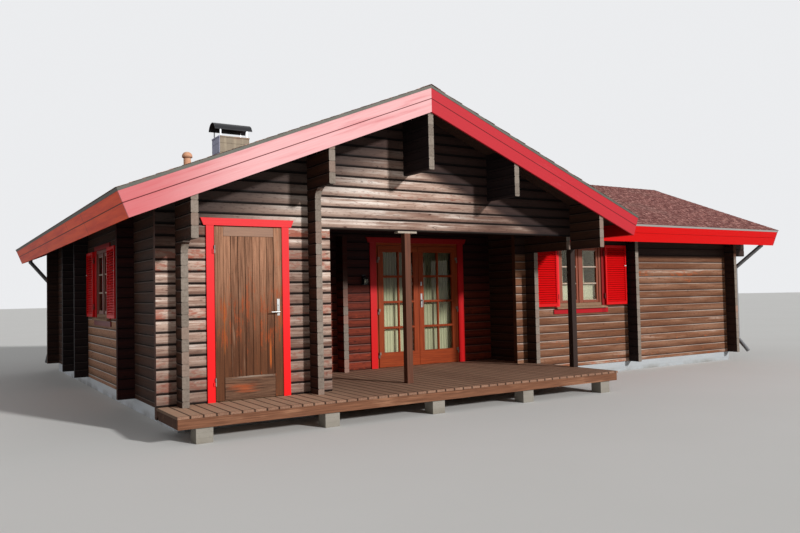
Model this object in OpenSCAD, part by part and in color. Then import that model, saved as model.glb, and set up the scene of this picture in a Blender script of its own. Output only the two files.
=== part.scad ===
// Log cabin with a gabled front, a recessed porch, a store room and a lower side wing.
// The ground is at Z = 0, the front faces -Y and +X runs along the wing.

/* [Logs] */
// Height of one log course
course = 135; // [115:1:155]
// Thickness of the planed logs
log_t = 80; // [60:1:110]
// Depth of the chamfer at each log edge
chamfer = 9; // [4:1:14]
// How far crossed log ends stand past a wall
log_end = 220; // [150:5:260]

/* [Main house] */
// Half of the width over the side walls
half_w = 3090; // [2700:10:3600]
// Length over the front and rear walls
body_l = 9120; // [8400:10:10800]
// Height of the foundation above the ground
plinth_h = 165; // [130:5:300]
// Courses from the foundation to the door heads
head_courses = 16; // [15:1:17]
// Distance from the front wall to the wall behind the porch
porch_d = 2010; // [1700:10:2400]
// Distance of the store and roof purlin lines from the ridge line
purlin_x = 1420; // [1250:10:1550]
// Distance from the front to the crossed logs behind the left window
mid_y = 5490; // [5000:10:6000]
// Distance from the front to the rear crossed logs
rear_y = 6850; // [6500:10:7400]

/* [Wing] */
// Distance of the wing front from the main front
wing_y = 1050; // [700:10:1400]
// Length of the wing beyond the main house
wing_l = 5420; // [4600:10:6400]
// Free wall past the open shutters in the bay with the window
bay_spare = 57.5; // [40:0.5:200]

/* [Roof] */
// Roof pitch in degrees
pitch = 21.8; // [18:0.1:26]
// Height of the roof surface over the door heads, at the side walls
roof_up = 584; // [520:2:800]
// Overhang past the side walls
eave_over = 750; // [600:10:850]
// Overhang past the gables
verge_over = 640; // [500:10:760]
// Thickness of the roof panels
panel_t = 120; // [80:5:160]
// Thickness of the shingle layer
shingle_t = 12; // [8:1:20]
// Depth of the barge and eave boards
barge_h = 320; // [240:5:360]
// Thickness of the barge and eave boards
barge_t = 28; // [20:1:40]

/* [Doors] */
// Width of the plank door
door_w = 826; // [700:2:900]
// Centre of the plank door from the ridge line
door_x = -2235; // [-2280:5:-2190]
// Width of the pair of glazed doors
french_w = 1560; // [1300:10:1700]
// Centre of the glazed doors from the ridge line
french_x = 1490; // [1400:5:1600]
// Thickness of the door leaves
leaf_t = 42; // [34:1:48]

/* [Windows] */
// Width of the window openings
window_w = 1040; // [900:10:1100]
// Height of the window openings
window_h = 1085; // [900:5:1100]
// Height of the window openings above the ground
window_z = 1210; // [1150:5:1300]
// Free wall behind the open rear shutter of the left window
left_spare = 195; // [60:5:300]
// Width of the boards beside the windows
casing = 100; // [80:5:120]
// Thickness of a shutter
shutter_t = 32; // [26:1:40]

/* [Deck] */
// Deck in front of the main front wall
deck_out = 800; // [600:10:1000]
// Height of the deck and floor above the ground
deck_z = 300; // [260:5:420]
// Thickness of the deck boards
board_t = 28; // [22:1:36]
// Side of the square porch posts
post_w = 90; // [70:2:120]

/* [Chimney] */
// Width of the chimney
chimney_w = 600; // [450:10:700]
// Depth of the chimney
chimney_d = 430; // [350:10:600]
// Height of the chimney body above the ridge
chimney_up = 500; // [250:10:800]

/* [Hidden] */

$fn = 48;
seat = 0.3;
groove = 5;
door_gap = 6;
big = 20000;

// Slope of the roof as a rise and the vertical thickness of its layers
rise = tan(pitch);
panel_v = panel_t / cos(pitch);

// Heights
half_course = course / 2;
head_z = plinth_h + head_courses * course;
console_z = plinth_h + half_course + 14 * course;
mid_purlin_z = console_z + 5 * course;
ridge_purlin_z = console_z + 7 * course;
wing_purlin_z = console_z + 5 * course;
ridge_z = head_z + roof_up + half_w * rise;
chimney_z = ridge_z + chimney_up;

// Open shutters on both sides of a window
shutter_gap = 5;
shutter_throw = 20;
shutter_w = window_w / 2 + casing / 2 - shutter_throw - shutter_gap;
shutter_reach = window_w / 2 + casing / 2 + shutter_throw + shutter_w;
left_window_y = mid_y - shutter_reach - left_spare;

// Lines of the main house, from the ridge line in X and the front in Y
outer_x = half_w;
inner_x = half_w - log_t;
tip_x = half_w + log_end;
rear_face = body_l - log_t;
porch_back = porch_d + log_t;
eave_x = half_w + eave_over;
front_verge = -verge_over;
rear_verge = body_l + verge_over;
purlin_half = log_t / 2;
store_x = -purlin_x + purlin_half;

// Lines of the wing
wing_right = half_w + wing_l;
wing_bay = 2 * (shutter_reach + bay_spare);
wing_mid = half_w + wing_bay;
wing_back = mid_y + log_t;
wing_ridge_y = (wing_y + wing_back) / 2;
wing_eave = wing_ridge_y - wing_y + eave_over;
wing_verge = wing_right + verge_over;
wing_ridge_z = ridge_z - (eave_x - wing_eave) * rise;

// The box round the whole cabin is centred on the origin
drip = 10;
left_edge = eave_x + drip * cos(pitch) + shingle_t * sin(pitch);
centre_x = (wing_verge + drip - left_edge) / 2;
centre_y = (rear_verge + drip - deck_out) / 2;

// One face of a stack of logs, going up, as points across and along the height
function log_face(z0, n, first, side, sign) =
    [for (i = [0:n - 1])
        let (a = z0 + (i == 0 ? 0 : first + (i - 1) * course),
             b = z0 + first + i * course)
        each [[side + sign * chamfer, a], [side, a + chamfer], [side, b - chamfer]]];

// Section of a log wall with its lower edge at z0 and a first course of its own height
module log_section(z0, n, first) {
    top = z0 + first + (n - 1) * course;
    left = log_face(z0, n, first, 0, 1);
    right = log_face(z0, n, first, log_t, -1);
    polygon(concat(left, [[chamfer, top], [log_t - chamfer, top]],
        [for (i = [len(right) - 1:-1:0]) right[i]]));
}

// Log wall along X with its front face at y0
module logs_x(x0, x1, y0, z0, n, first = course) {
    translate([x0, y0, 0]) rotate([90, 0, 90]) linear_extrude(x1 - x0) log_section(z0, n, first);
}

// Log wall along Y with its left face at x0
module logs_y(y0, y1, x0, z0, n, first = half_course) {
    translate([x0, y1, 0]) rotate([90, 0, 0]) linear_extrude(y1 - y0) log_section(z0, n, first);
}

// Point of a roof slope, at a distance down the slope and a depth below its top
function slope_point(top, s, n) =
    [s * cos(pitch) - n * sin(pitch), top - s * sin(pitch) - n * cos(pitch)];

// Section of one roof layer on one side of a ridge
module slope_layer(top, run, n0, n1, past = 0) {
    s = run / cos(pitch) + past;
    polygon([[0, top - n0 / cos(pitch)], slope_point(top, s, n0), slope_point(top, s, n1),
        [0, top - n1 / cos(pitch)]]);
}

// Section of a board across the foot of a slope, between two depths
module eave_section(top, run, n0, n1, thick, past = 0) {
    s = run / cos(pitch) + past;
    polygon([slope_point(top, s - thick, n0), slope_point(top, s, n0),
        slope_point(top, s, n1), slope_point(top, s - thick, n1)]);
}

// Two planks with a V joint across the foot of a slope
module eave_planks(top, run) {
    half = barge_h / 2;
    difference() {
        for (n = [0, half])
            eave_section(top, run, n, n + half - seat, barge_t);
        translate(slope_point(top, run / cos(pitch), half)) circle(r = groove, $fn = 4);
    }
}

// Runs a section in X and Z along Y
module along_y(y0, y1) {
    translate([0, y1, 0]) rotate([90, 0, 0]) linear_extrude(y1 - y0) children();
}

// Runs a section in Y and Z along X
module along_x(x0, x1) {
    translate([x0, 0, 0]) rotate([90, 0, 90]) linear_extrude(x1 - x0) children();
}

// Both slopes of a section that starts at the ridge
module both_sides() {
    children();
    mirror([1, 0, 0]) children();
}

// Everything below a ridge, down to the ground
module below_ridge(top, run) {
    z = top - run * rise;
    polygon([[-run, -1], [run, -1], [run, z], [0, top], [-run, z]]);
}

module under_main_roof() {
    along_y(-big, big) below_ridge(ridge_z - panel_v - seat, big / 2.5);
}

module under_wing_roof() {
    translate([0, wing_ridge_y, 0]) along_x(-big, big)
        below_ridge(wing_ridge_z - panel_v - seat, big / 2.5);
}

// Where the wing opens into the main house under both roofs
module wing_room(gap = 0) {
    translate([outer_x - gap, wing_y, -1]) cube([big, wing_back - wing_y, big]);
}

// Posts of space where a crossing wall along X passes through
module cross_at(y) {
    translate([-big, y, -1]) cube([2 * big, log_t, big]);
}

// Thin joint between two courses at a height
module course_joint(z) {
    translate([-big, -big, z - seat]) cube([2 * big, 2 * big, seat]);
}

// Space below a projecting log head, with a cove where the head starts
module below_console(z) {
    difference() {
        translate([-big, -1]) square([big - log_end, z + 1]);
        translate([-log_end - course, z - course]) difference() {
            square(course);
            circle(r = course);
        }
    }
    translate([-big, z - seat]) square([big, seat]);
}

// Cuts the log heads of a wall along Y at both gables
module console_cuts(x, z) {
    translate([x - 1, 0, 0]) rotate([90, 0, 90]) linear_extrude(log_t + 2) below_console(z);
    translate([x - 1, body_l, 0]) mirror([0, 1, 0]) rotate([90, 0, 90])
        linear_extrude(log_t + 2) below_console(z);
}

// Stack of logs along Y over the whole length, from a height up to the roof
module gable_to_gable(x, z0, first) {
    n = ceil((ridge_z - z0) / course);
    intersection() {
        logs_y(front_verge + barge_t, rear_verge - barge_t, x, z0, n, first);
        under_main_roof();
    }
}

foundation_in = 15;
strip = 130;
pad = 180;
pad_in = 60;
rim_h = 105;
joist_t = 45;
joist_ys = [-380, 40, 560, 1080, 1600];

// Foundation strips under the walls along X, from x0 to x1, and along Y, from y0 to y1
module strip_x(x0, x1, y) {
    translate([x0, y, 0]) cube([x1 - x0, strip, plinth_h]);
}

module strip_y(y0, y1, x) {
    translate([x, y0 + strip + seat, 0]) cube([strip, y1 - y0 - strip - 2 * seat, plinth_h]);
}

module foundation() {
    left = -outer_x + foundation_in;
    right = outer_x - foundation_in - strip;
    store_right = store_x - foundation_in - strip;
    wing_end = wing_right - foundation_in - strip;
    front = foundation_in;
    rear = body_l - foundation_in - strip;
    porch = porch_d + foundation_in;
    wing_front = wing_y + foundation_in;
    wing_rear = wing_back - foundation_in - strip;
    color("silver") {
        strip_x(left, store_right + strip, front);
        strip_x(left, right + strip, porch);
        strip_x(left, right + strip, rear);
        strip_x(right, wing_end + strip, wing_front);
        strip_x(right + strip + seat, wing_end + strip, wing_rear);
        strip_y(front, porch, left);
        strip_y(porch, rear, left);
        strip_y(front, porch, store_right);
        strip_y(wing_front, porch, right);
        strip_y(porch, rear, right);
        strip_y(wing_front, wing_rear, wing_end);
        // Pad blocks under the rim and under the third joist
        pad_step = (2 * outer_x - 2 * pad_in - pad) / 4;
        for (i = [0:4])
            translate([left + pad_in - pad / 2 + i * pad_step, 0, 0]) {
                pad_block(45 - deck_out);
                if (left + i * pad_step > store_x) pad_block(joist_ys[2] - (pad - joist_t) / 2);
            }
    }
}

module pad_block(y) {
    translate([0, y, 0]) cube([pad, pad, deck_z - board_t - rim_h]);
}

// Rectangle between two corners
module area(x0, y0, x1, y1) {
    translate([x0, y0]) square([x1 - x0, y1 - y0]);
}

// Floor slabs between the walls, with the doorsteps
module floor_plan() {
    passage = porch_back + log_end;
    difference() {
        union() {
            area(-inner_x, log_t, -purlin_x - purlin_half, porch_d);
            area(-inner_x, porch_back, inner_x, rear_face);
            area(inner_x + seat, passage + seat, outer_x, mid_y - seat);
            area(outer_x + seat, wing_y + log_t, wing_right - log_t, mid_y);
            area(door_x - door_side, 0, door_x + door_side, log_t - seat);
            area(french_x - french_open / 2, porch_d, french_x + french_open / 2,
                porch_back - seat);
        }
        // Crossed log ends that stand inside
        for (y = [mid_y, rear_y]) {
            area(-inner_x - 1, y, -inner_x + log_end, y + log_t);
            area(inner_x - log_end, y, outer_x, y + log_t);
        }
        area(wing_mid, wing_y + log_t - 1, wing_mid + log_t, wing_y + log_t + log_end);
        area(wing_mid, mid_y - log_end, wing_mid + log_t, mid_y + 1);
        area(outer_x - 1, porch_d, outer_x + log_end, porch_back);
    }
}

french_frame = 50;
french_open = french_w + 2 * french_frame;

module floor() {
    color("burlywood") translate([0, 0, plinth_h]) linear_extrude(deck_z - plinth_h) floor_plan();
}

// Outline of the deck, a gap away from the walls and with its open edges set back
module deck_plan(gap, set_back = 0) {
    difference() {
        translate([-tip_x + set_back, -deck_out + set_back])
            square([tip_x + outer_x - 2 * set_back, deck_out + porch_d - set_back - gap]);
        // The store, and the corner of the wing
        translate([-big, -gap]) square([big + store_x + gap, big]);
        translate([inner_x - gap, wing_y - log_end - gap]) square(big);
        // Crossed log ends
        for (x = [-outer_x, store_x - log_t])
            translate([x - gap, -log_end - gap]) square([log_t + 2 * gap, log_end + 2 * gap]);
        translate([store_x - 1, -gap]) square([log_end + gap + 1, log_t + 2 * gap]);
        translate([inner_x - log_end - gap, wing_y - gap])
            square([log_end + 2 * gap, log_t + 2 * gap]);
        translate([-purlin_half - gap, porch_d - log_end - gap])
            square([log_t + 2 * gap, log_end + 2 * gap]);
    }
}

// Rim boards at three sides, and joists across between them
module deck_frame() {
    set_back = 12;
    left = -tip_x + set_back;
    right = outer_x - set_back;
    z = deck_z - board_t - rim_h;
    color("sienna") translate([0, 0, z]) linear_extrude(rim_h) intersection() {
        deck_plan(deck_gap + set_back, set_back);
        union() {
            area(left, -deck_out, right, -deck_out + set_back + joist_t);
            for (x = [left, right - joist_t])
                area(x, -deck_out + set_back + joist_t + seat, x + joist_t, big);
            for (y = joist_ys)
                area(left + joist_t + seat, y, right - joist_t - seat, y + joist_t);
        }
    }
}

deck_gap = 4;

module deck_boards() {
    color("saddlebrown") translate([0, 0, deck_z - board_t]) linear_extrude(board_t)
        deck_plan(deck_gap);
}

module posts() {
    plate_l = 300;
    plate_t = 25;
    color("saddlebrown") for (x = [0, outer_x - log_t / 2]) {
        top = x == 0 ? head_z : console_z;
        translate([x - post_w / 2, (log_t - post_w) / 2, deck_z])
            cube([post_w, post_w, top - plate_t - deck_z]);
        translate([x - (x == 0 ? plate_l / 2 : post_w / 2), (log_t - post_w) / 2, top - plate_t])
            cube([x == 0 ? plate_l : post_w, post_w, plate_t]);
    }
}

door_side = door_w / 2 + door_gap;

module store_wall_left() {
    color("saddlebrown") intersection() {
        logs_x(-tip_x, door_x - door_side, 0, plinth_h, head_courses);
        under_main_roof();
    }
}

module store_wall_right() {
    color("saddlebrown") logs_x(door_x + door_side, store_x + log_end, 0, plinth_h, head_courses);
}

// Log wall across the main house above the door heads
module gable(y) {
    n = ceil((ridge_z - head_z) / course);
    intersection() {
        logs_x(-tip_x, tip_x, y, head_z, n);
        under_main_roof();
    }
}

module front_gable() {
    color("saddlebrown") gable(0);
}

module left_wall() {
    color("saddlebrown") difference() {
        gable_to_gable(-outer_x, plinth_h, half_course);
        for (y = [0, porch_d, mid_y, rear_y, rear_face]) cross_at(y);
        console_cuts(-outer_x, console_z);
        translate([-outer_x - 1, left_window_y - window_w / 2, window_z])
            cube([log_t + 2, window_w, window_h]);
        for (z = [window_z, window_z + window_h])
            translate([-outer_x - 1, porch_d, z - seat]) cube([log_t + 2, mid_y - porch_d, seat]);
    }
}

module porch_side_wall() {
    x = store_x - log_t;
    color("saddlebrown") difference() {
        gable_to_gable(x, plinth_h, half_course);
        for (y = [0, porch_d, rear_face]) cross_at(y);
        console_cuts(x, mid_purlin_z);
        translate([x - 1, porch_back - 1, -1]) cube([log_t + 2, big, mid_purlin_z + 1]);
    }
}

module porch_back_wall_left() {
    color("saddlebrown") {
        intersection() {
            logs_x(-tip_x, french_x - french_open / 2, porch_d, plinth_h, head_courses);
            under_main_roof();
        }
        // Log ends of the inner wall on the ridge line
        logs_y(porch_d - log_end, porch_d - seat, -purlin_half, deck_z, head_courses,
            half_course);
    }
}

module porch_back_wall_right() {
    color("saddlebrown") intersection() {
        logs_x(french_x + french_open / 2, tip_x, porch_d, plinth_h, head_courses);
        under_main_roof();
    }
}

module porch_back_wall_head() {
    color("saddlebrown") gable(porch_d);
}

module right_wall() {
    x = inner_x;
    color("saddlebrown") difference() {
        gable_to_gable(x, plinth_h, half_course);
        for (y = [0, porch_d, rear_y, rear_face, wing_y, mid_y]) cross_at(y);
        console_cuts(x, console_z);
        course_joint(console_z);
        // Open porch corner, and the way into the wing
        translate([x - 1, -big, -1]) cube([log_t + 2, big + wing_y - log_end, console_z + 1]);
        translate([x - 1, porch_back + log_end, -1])
            cube([log_t + 2, mid_y - porch_back - log_end, console_z + 1]);
    }
}

// Wing wall along X, with log heads that carry the verge above console_z
module wing_long_wall(y) {
    n = ceil((ridge_z - plinth_h) / course);
    intersection() {
        union() {
            under_main_roof();
            translate([outer_x, -big / 2, 0]) cube(big);
        }
        difference() {
            logs_x(inner_x - log_end, wing_verge - barge_t, y, plinth_h, n, half_course);
            translate([wing_right, y - 1, 0]) mirror([1, 0, 0]) rotate([90, 0, 0])
                translate([0, 0, -log_t - 2]) linear_extrude(log_t + 2) below_console(console_z);
            course_joint(console_z);
        }
        under_wing_roof();
    }
}

module back_walls() {
    n = ceil((ridge_z - plinth_h) / course);
    color("saddlebrown") {
        intersection() {
            logs_x(-tip_x, tip_x, rear_face, plinth_h, n);
            under_main_roof();
        }
        wing_long_wall(mid_y);
    }
}

module wing_front_wall() {
    color("saddlebrown") difference() {
        wing_long_wall(wing_y);
        translate([half_w + (wing_bay - window_w) / 2, wing_y - 1, window_z])
            cube([window_w, log_t + 2, window_h]);
        for (z = [window_z, window_z + window_h]) course_joint(z);
    }
}

module wing_right_wall() {
    n = ceil((wing_ridge_z - plinth_h) / course);
    x = wing_right - log_t;
    color("saddlebrown") {
        difference() {
            intersection() {
                logs_y(wing_y - log_end, wing_back + log_end, x, plinth_h, n, course);
                under_wing_roof();
            }
            cross_at(wing_y);
            cross_at(mid_y);
            translate([x - 1, wing_ridge_y - purlin_half, wing_purlin_z])
                cube([log_t + 2, log_t, big]);
        }
    }
}

module cross_log_ends() {
    n = ceil((ridge_z - plinth_h) / course);
    color("saddlebrown") {
        // Log ends of the inner walls, through the side walls
        intersection() {
            union() {
                for (y = [mid_y, rear_y]) logs_x(-tip_x, -inner_x + log_end, y, plinth_h, n);
                logs_x(inner_x - log_end, tip_x, rear_y, plinth_h, n);
            }
            under_main_roof();
        }
        // Log ends of the inner wall of the wing, in front of and behind its long walls
        intersection() {
            union() {
                logs_y(wing_y - log_end, wing_y, wing_mid, plinth_h, n, course);
                logs_y(wing_y + log_t, wing_y + log_t + log_end, wing_mid, plinth_h, n, course);
                logs_y(mid_y - log_end, mid_y, wing_mid, plinth_h, n, course);
                logs_y(wing_back, wing_back + log_end, wing_mid, plinth_h, n, course);
            }
            under_wing_roof();
        }
    }
}

module purlins() {
    color("saddlebrown") {
        difference() {
            gable_to_gable(-purlin_half, ridge_purlin_z, course);
            for (y = [0, porch_d, rear_face]) cross_at(y);
        }
        difference() {
            gable_to_gable(purlin_x - purlin_half, mid_purlin_z, course);
            for (y = [0, porch_d, rear_face]) cross_at(y);
        }
        intersection() {
            logs_x(outer_x, wing_verge - barge_t, wing_ridge_y - purlin_half, wing_purlin_z,
                ceil((wing_ridge_z - wing_purlin_z) / course));
            under_wing_roof();
        }
    }
}

// Thin upright joint along the main ridge, or along the ridge of the wing
module main_ridge_joint() {
    translate([-seat / 2, -big, 0]) cube([seat, 2 * big, big]);
}

module wing_ridge_joint() {
    translate([0, wing_ridge_y - seat / 2, 0]) cube([big, seat, big]);
}

module main_panel() {
    difference() {
        along_y(front_verge + barge_t, rear_verge - barge_t) both_sides()
            slope_layer(ridge_z, eave_x, 0, panel_t, -barge_t - seat);
        wing_room(seat);
        main_ridge_joint();
        // Panels meet in line with the walls of the wing
        for (y = [wing_y - seat, wing_back]) translate([0, y, 0]) cube([big, seat, big]);
    }
}

// Space taken by the main roof where the wing roof runs onto it
module main_roof_space(n) {
    difference() {
        along_y(-big, big) below_ridge(ridge_z + n / cos(pitch), eave_x);
        wing_room();
    }
}

module wing_layer(n0, n1, past, end) {
    translate([0, wing_ridge_y, 0]) along_x(0, end) both_sides()
        slope_layer(wing_ridge_z, wing_eave, n0, n1, past);
}

module roof_panels() {
    color("peru") {
        main_panel();
        difference() {
            wing_layer(0, panel_t, -barge_t - seat, wing_verge - barge_t);
            main_roof_space(0);
            wing_ridge_joint();
            translate([outer_x - seat, -big / 2, 0]) cube([seat, big, big]);
        }
    }
}

module roof_shingles() {
    color("brown") {
        difference() {
            along_y(front_verge - drip, rear_verge + drip) both_sides()
                slope_layer(ridge_z, eave_x, -shingle_t, 0, drip);
            translate([0, wing_ridge_y, 0]) along_x(0, big)
                below_ridge(wing_ridge_z + shingle_t / cos(pitch), wing_eave + drip);
        }
        difference() {
            wing_layer(-shingle_t, 0, drip, wing_verge + drip);
            main_roof_space(shingle_t);
        }
    }
}

// Two planks with a V joint down each slope
module barge_pair(top, run, y) {
    half = barge_h / 2;
    for (side = [0, 1]) mirror([side, 0, 0]) difference() {
        along_y(y, y + barge_t)
            for (n = [0, half]) slope_layer(top, run, n, n + half - seat);
        for (face = [y, y + barge_t])
            translate([0, face, top - half / cos(pitch)]) rotate([0, pitch, 0]) rotate([45, 0, 0])
                translate([-barge_h, -groove / 2, -groove / 2])
                    cube([run / cos(pitch) + 2 * barge_h, groove, groove]);
        main_ridge_joint();
    }
}

module barge_boards() {
    color("indianred") {
        barge_pair(ridge_z, eave_x, front_verge);
        barge_pair(ridge_z, eave_x, rear_verge - barge_t);
        translate([wing_verge, wing_ridge_y, 0]) rotate([0, 0, 90])
            barge_pair(wing_ridge_z, wing_eave, 0);
    }
}

// Everything outside the face of an eave board on the right of the ridge
module outside_eave(top, run, past = 0) {
    s = run / cos(pitch) + past;
    polygon([slope_point(top, s, -big), slope_point(top, s + big, -big),
        slope_point(top, s + big, big), slope_point(top, s, big)]);
}

module eave_boards() {
    color("firebrick") {
        // Left eave of the main roof
        along_y(front_verge + barge_t, rear_verge - barge_t)
            mirror([1, 0, 0]) eave_planks(ridge_z, eave_x);
        // Right eave in front of and behind the wing
        intersection() {
            along_y(front_verge + barge_t, rear_verge - barge_t)
                eave_planks(ridge_z, eave_x);
            translate([0, wing_ridge_y, 0]) along_x(0, big) both_sides()
                outside_eave(wing_ridge_z, wing_eave);
        }
        // Eaves of the wing, from the inner corners outwards
        intersection() {
            translate([0, wing_ridge_y, 0]) along_x(0, wing_verge - barge_t) both_sides()
                eave_planks(wing_ridge_z, wing_eave);
            along_y(-big, big) outside_eave(ridge_z, eave_x);
        }
    }
}

edging_t = 4;
edging_h = 34;

// Metal strip on the face of one gable's barge boards
module verge_edging(top, run, y) {
    difference() {
        along_y(y, y + edging_t) both_sides() slope_layer(top, run, seat, edging_h);
        main_ridge_joint();
    }
}

// Metal strips under the edge of the shingles, on the barge boards and the eave boards
module roof_edging() {
    off = edging_t + seat;
    color("gray") {
        verge_edging(ridge_z, eave_x, front_verge - off);
        verge_edging(ridge_z, eave_x, rear_verge + seat);
        translate([wing_verge + off, wing_ridge_y, 0]) rotate([0, 0, 90])
            verge_edging(wing_ridge_z, wing_eave, 0);
        along_y(front_verge, rear_verge) mirror([1, 0, 0])
            eave_section(ridge_z, eave_x, seat, edging_h, edging_t, off);
        intersection() {
            along_y(front_verge, rear_verge)
                eave_section(ridge_z, eave_x, seat, edging_h, edging_t, off);
            translate([0, wing_ridge_y, 0]) along_x(0, big) both_sides()
                outside_eave(wing_ridge_z, wing_eave, drip + seat);
        }
        intersection() {
            translate([0, wing_ridge_y, 0]) along_x(0, wing_verge) both_sides()
                eave_section(wing_ridge_z, wing_eave, seat, edging_h, edging_t, off);
            along_y(-big, big) outside_eave(ridge_z, eave_x, drip + seat);
        }
    }
}

chimney_x = -655;
chimney_y = 5650;

chimney_base = 3300;

// Sheet-clad chimney with a skirt on the roof and a collar at the top
module chimney() {
    lip = 12;
    skirt = 150;
    collar = 24;
    color("dimgray") difference() {
        union() {
            translate([chimney_x, chimney_y, chimney_base])
                cube([chimney_w, chimney_d, chimney_z - chimney_base]);
            translate([chimney_x - lip, chimney_y - lip, chimney_z - collar])
                cube([chimney_w + 2 * lip, chimney_d + 2 * lip, collar]);
            intersection() {
                translate([chimney_x - lip, chimney_y - lip, chimney_base])
                    cube([chimney_w + 2 * lip, chimney_d + 2 * lip, chimney_z - chimney_base]);
                along_y(-big, big) below_ridge(ridge_z + skirt, eave_x);
            }
        }
        along_y(-big, big) below_ridge(ridge_z + shingle_t / cos(pitch) + seat, eave_x);
        // Two flues
        for (i = [0, 1])
            translate([chimney_x + chimney_w * (i + 0.5) / 2, chimney_y + chimney_d / 2,
                chimney_z - 300]) cylinder(d = 180, h = 400);
    }
}

// Barrel-shaped sheet cap on four legs
module chimney_cap() {
    cap_w = 760;
    cap_d = 400;
    cap_rise = 150;
    cap_gap = 135;
    leg = 20;
    sheet = 8;
    cap_r = (cap_d * cap_d / 4 + cap_rise * cap_rise) / (2 * cap_rise);
    axis_z = cap_gap + cap_rise - cap_r;
    color("black") translate([chimney_x + chimney_w / 2, chimney_y + chimney_d / 2, chimney_z]) {
        intersection() {
            translate([-cap_w / 2, 0, axis_z]) rotate([90, 0, 90]) difference() {
                cylinder(r = cap_r, h = cap_w, $fn = 96);
                translate([0, 0, -1]) cylinder(r = cap_r - sheet, h = cap_w + 2, $fn = 96);
            }
            translate([-cap_w, -cap_d, cap_gap]) cube([2 * cap_w, 2 * cap_d, cap_d]);
        }
        intersection() {
            for (i = [-1, 1], j = [-1, 1])
                translate([i * (chimney_w / 2 - 30) - leg / 2, j * (chimney_d / 2 - 30) - leg / 2,
                    0]) cube([leg, leg, cap_gap + cap_rise]);
            translate([-cap_w / 2, 0, axis_z]) rotate([90, 0, 90])
                cylinder(r = cap_r - sheet / 2, h = cap_w, $fn = 96);
        }
    }
}

vent_x = -2065;
vent_y = 3000;

// Clay vent pipe with a mushroom cap
module vent_pipe() {
    pipe = 55;
    cap = 78;
    rise_up = 325;
    top = ridge_z + vent_x * rise + rise_up;
    color("chocolate") difference() {
        translate([vent_x, vent_y, 0]) {
            translate([0, 0, top - rise_up - 200]) cylinder(r = pipe, h = rise_up + 200);
            translate([0, 0, top]) rotate_extrude() polygon([[0, -1], [pipe, -1], [cap, 12],
                for (a = [0:10:90]) [cap * cos(a), 30 + 70 * sin(a)]]);
        }
        along_y(-big, big) below_ridge(ridge_z + shingle_t / cos(pitch) + seat, eave_x);
    }
}

// Turns Z into the direction v
module aim(v) {
    rotate([0, acos(v[2] / norm(v)), atan2(v[1], v[0])]) children();
}

// Round pipe along a line of points, with a beaded bend at each inner point
module pipe_run(points, r) {
    bead = 3;
    for (i = [0:len(points) - 2]) {
        run = points[i + 1] - points[i];
        translate(points[i]) aim(run) cylinder(r = r, h = norm(run));
        if (i > 0) translate(points[i]) sphere(r = r + bead);
    }
}

pipe_r = 38;
eave_foot = ridge_z - eave_x * rise - barge_h * cos(pitch);

pipe_clear = 30;
from_eave = barge_h * sin(pitch) + barge_t + pipe_r + pipe_clear;
knee_z = eave_foot - 430;
foot_z = 430;
kick = 200;
kick_z = 180;
clip = 24;
clip_zs = [600, 1500];

// Pipe from behind the eave board of the wing to its front wall, and down to a kicked foot
module wing_downpipe() {
    x = wing_right + 190;
    eave_pipe_x = x + 180;
    y = wing_y - pipe_r - pipe_clear;
    eave_y = wing_y - eave_over + from_eave;
    intersection() {
        pipe_run([[eave_pipe_x, eave_y, ridge_z], [eave_pipe_x, eave_y, eave_foot],
            [x, y, knee_z], [x, y, foot_z], [x + kick / 6, y - kick, kick_z]], pipe_r);
        under_wing_roof();
    }
    for (z = clip_zs)
        translate([x - clip / 2, y, z]) cube([clip, wing_y - seat - y, clip]);
}

// The same from the left eave to the rear corner of the left wall
module rear_downpipe() {
    x = -tip_x + pipe_r + 20;
    y = body_l + pipe_r + pipe_clear;
    eave_pipe_x = -eave_x + from_eave;
    eave_pipe_y = y - 140;
    intersection() {
        pipe_run([[eave_pipe_x, eave_pipe_y, ridge_z], [eave_pipe_x, eave_pipe_y, eave_foot],
            [x, y, knee_z], [x, y, foot_z], [x - kick / 6, y + kick, kick_z]], pipe_r);
        under_main_roof();
    }
    for (z = clip_zs)
        translate([x - clip / 2, body_l + seat, z]) cube([clip, y - body_l - seat, clip]);
}

module downpipes() {
    color("gray") {
        wing_downpipe();
        translate([0, 2 * wing_ridge_y, 0]) mirror([0, 1, 0]) wing_downpipe();
        rear_downpipe();
    }
}

stop = 30;
leaf_proud = 15;
rebate_w = 12;

module door_frames() {
    h = head_z - deck_z;
    color("chocolate") {
        // Stops behind the plank door
        translate([door_x, leaf_t / 2 + door_gap, deck_z])
            door_lining(door_w + 2 * door_gap, h, stop, log_t - leaf_t / 2 - door_gap);
        // Frame of the glazed doors with its rebate
        translate([french_x, porch_d, deck_z]) {
            door_lining(french_open, h, french_frame - door_gap, log_t);
            translate([0, leaf_t - leaf_proud + door_gap, 0])
                door_lining(french_open, h, french_frame + rebate_w,
                    log_t - leaf_t + leaf_proud - door_gap);
            for (side = [0, 1]) mirror([side, 0, 0])
                translate([-french_w / 2 - hinge_side, -leaf_proud - hinge_out, leaf_z - deck_z])
                    fixed_hinges(french_hinge_zs, -hinge_arm, hinge_out + leaf_proud + 1);
        }
    }
}

// Two jambs and a head
module door_lining(w, h, side, depth) {
    rotate([90, 0, 0]) translate([0, 0, -depth]) linear_extrude(depth) difference() {
        translate([-w / 2, 0]) square([w, h]);
        translate([-w / 2 + side, -1]) square([w - 2 * side, h - side + 1]);
    }
}

trim_t = 22;
hinge_r = 9;
hinge_h = 45;
hinge_out = 12;
hinge_side = 3;
hinge_arm = 20;

// Half of a lift-off hinge on the axis at the origin: a barrel, and an arm to one side
module hinge_half(arm_x, arm_y, z) {
    translate([0, 0, z]) {
        cylinder(r = hinge_r, h = hinge_h);
        translate([min(0, arm_x), 0, 0]) cube([abs(arm_x), arm_y, hinge_h]);
    }
}

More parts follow.
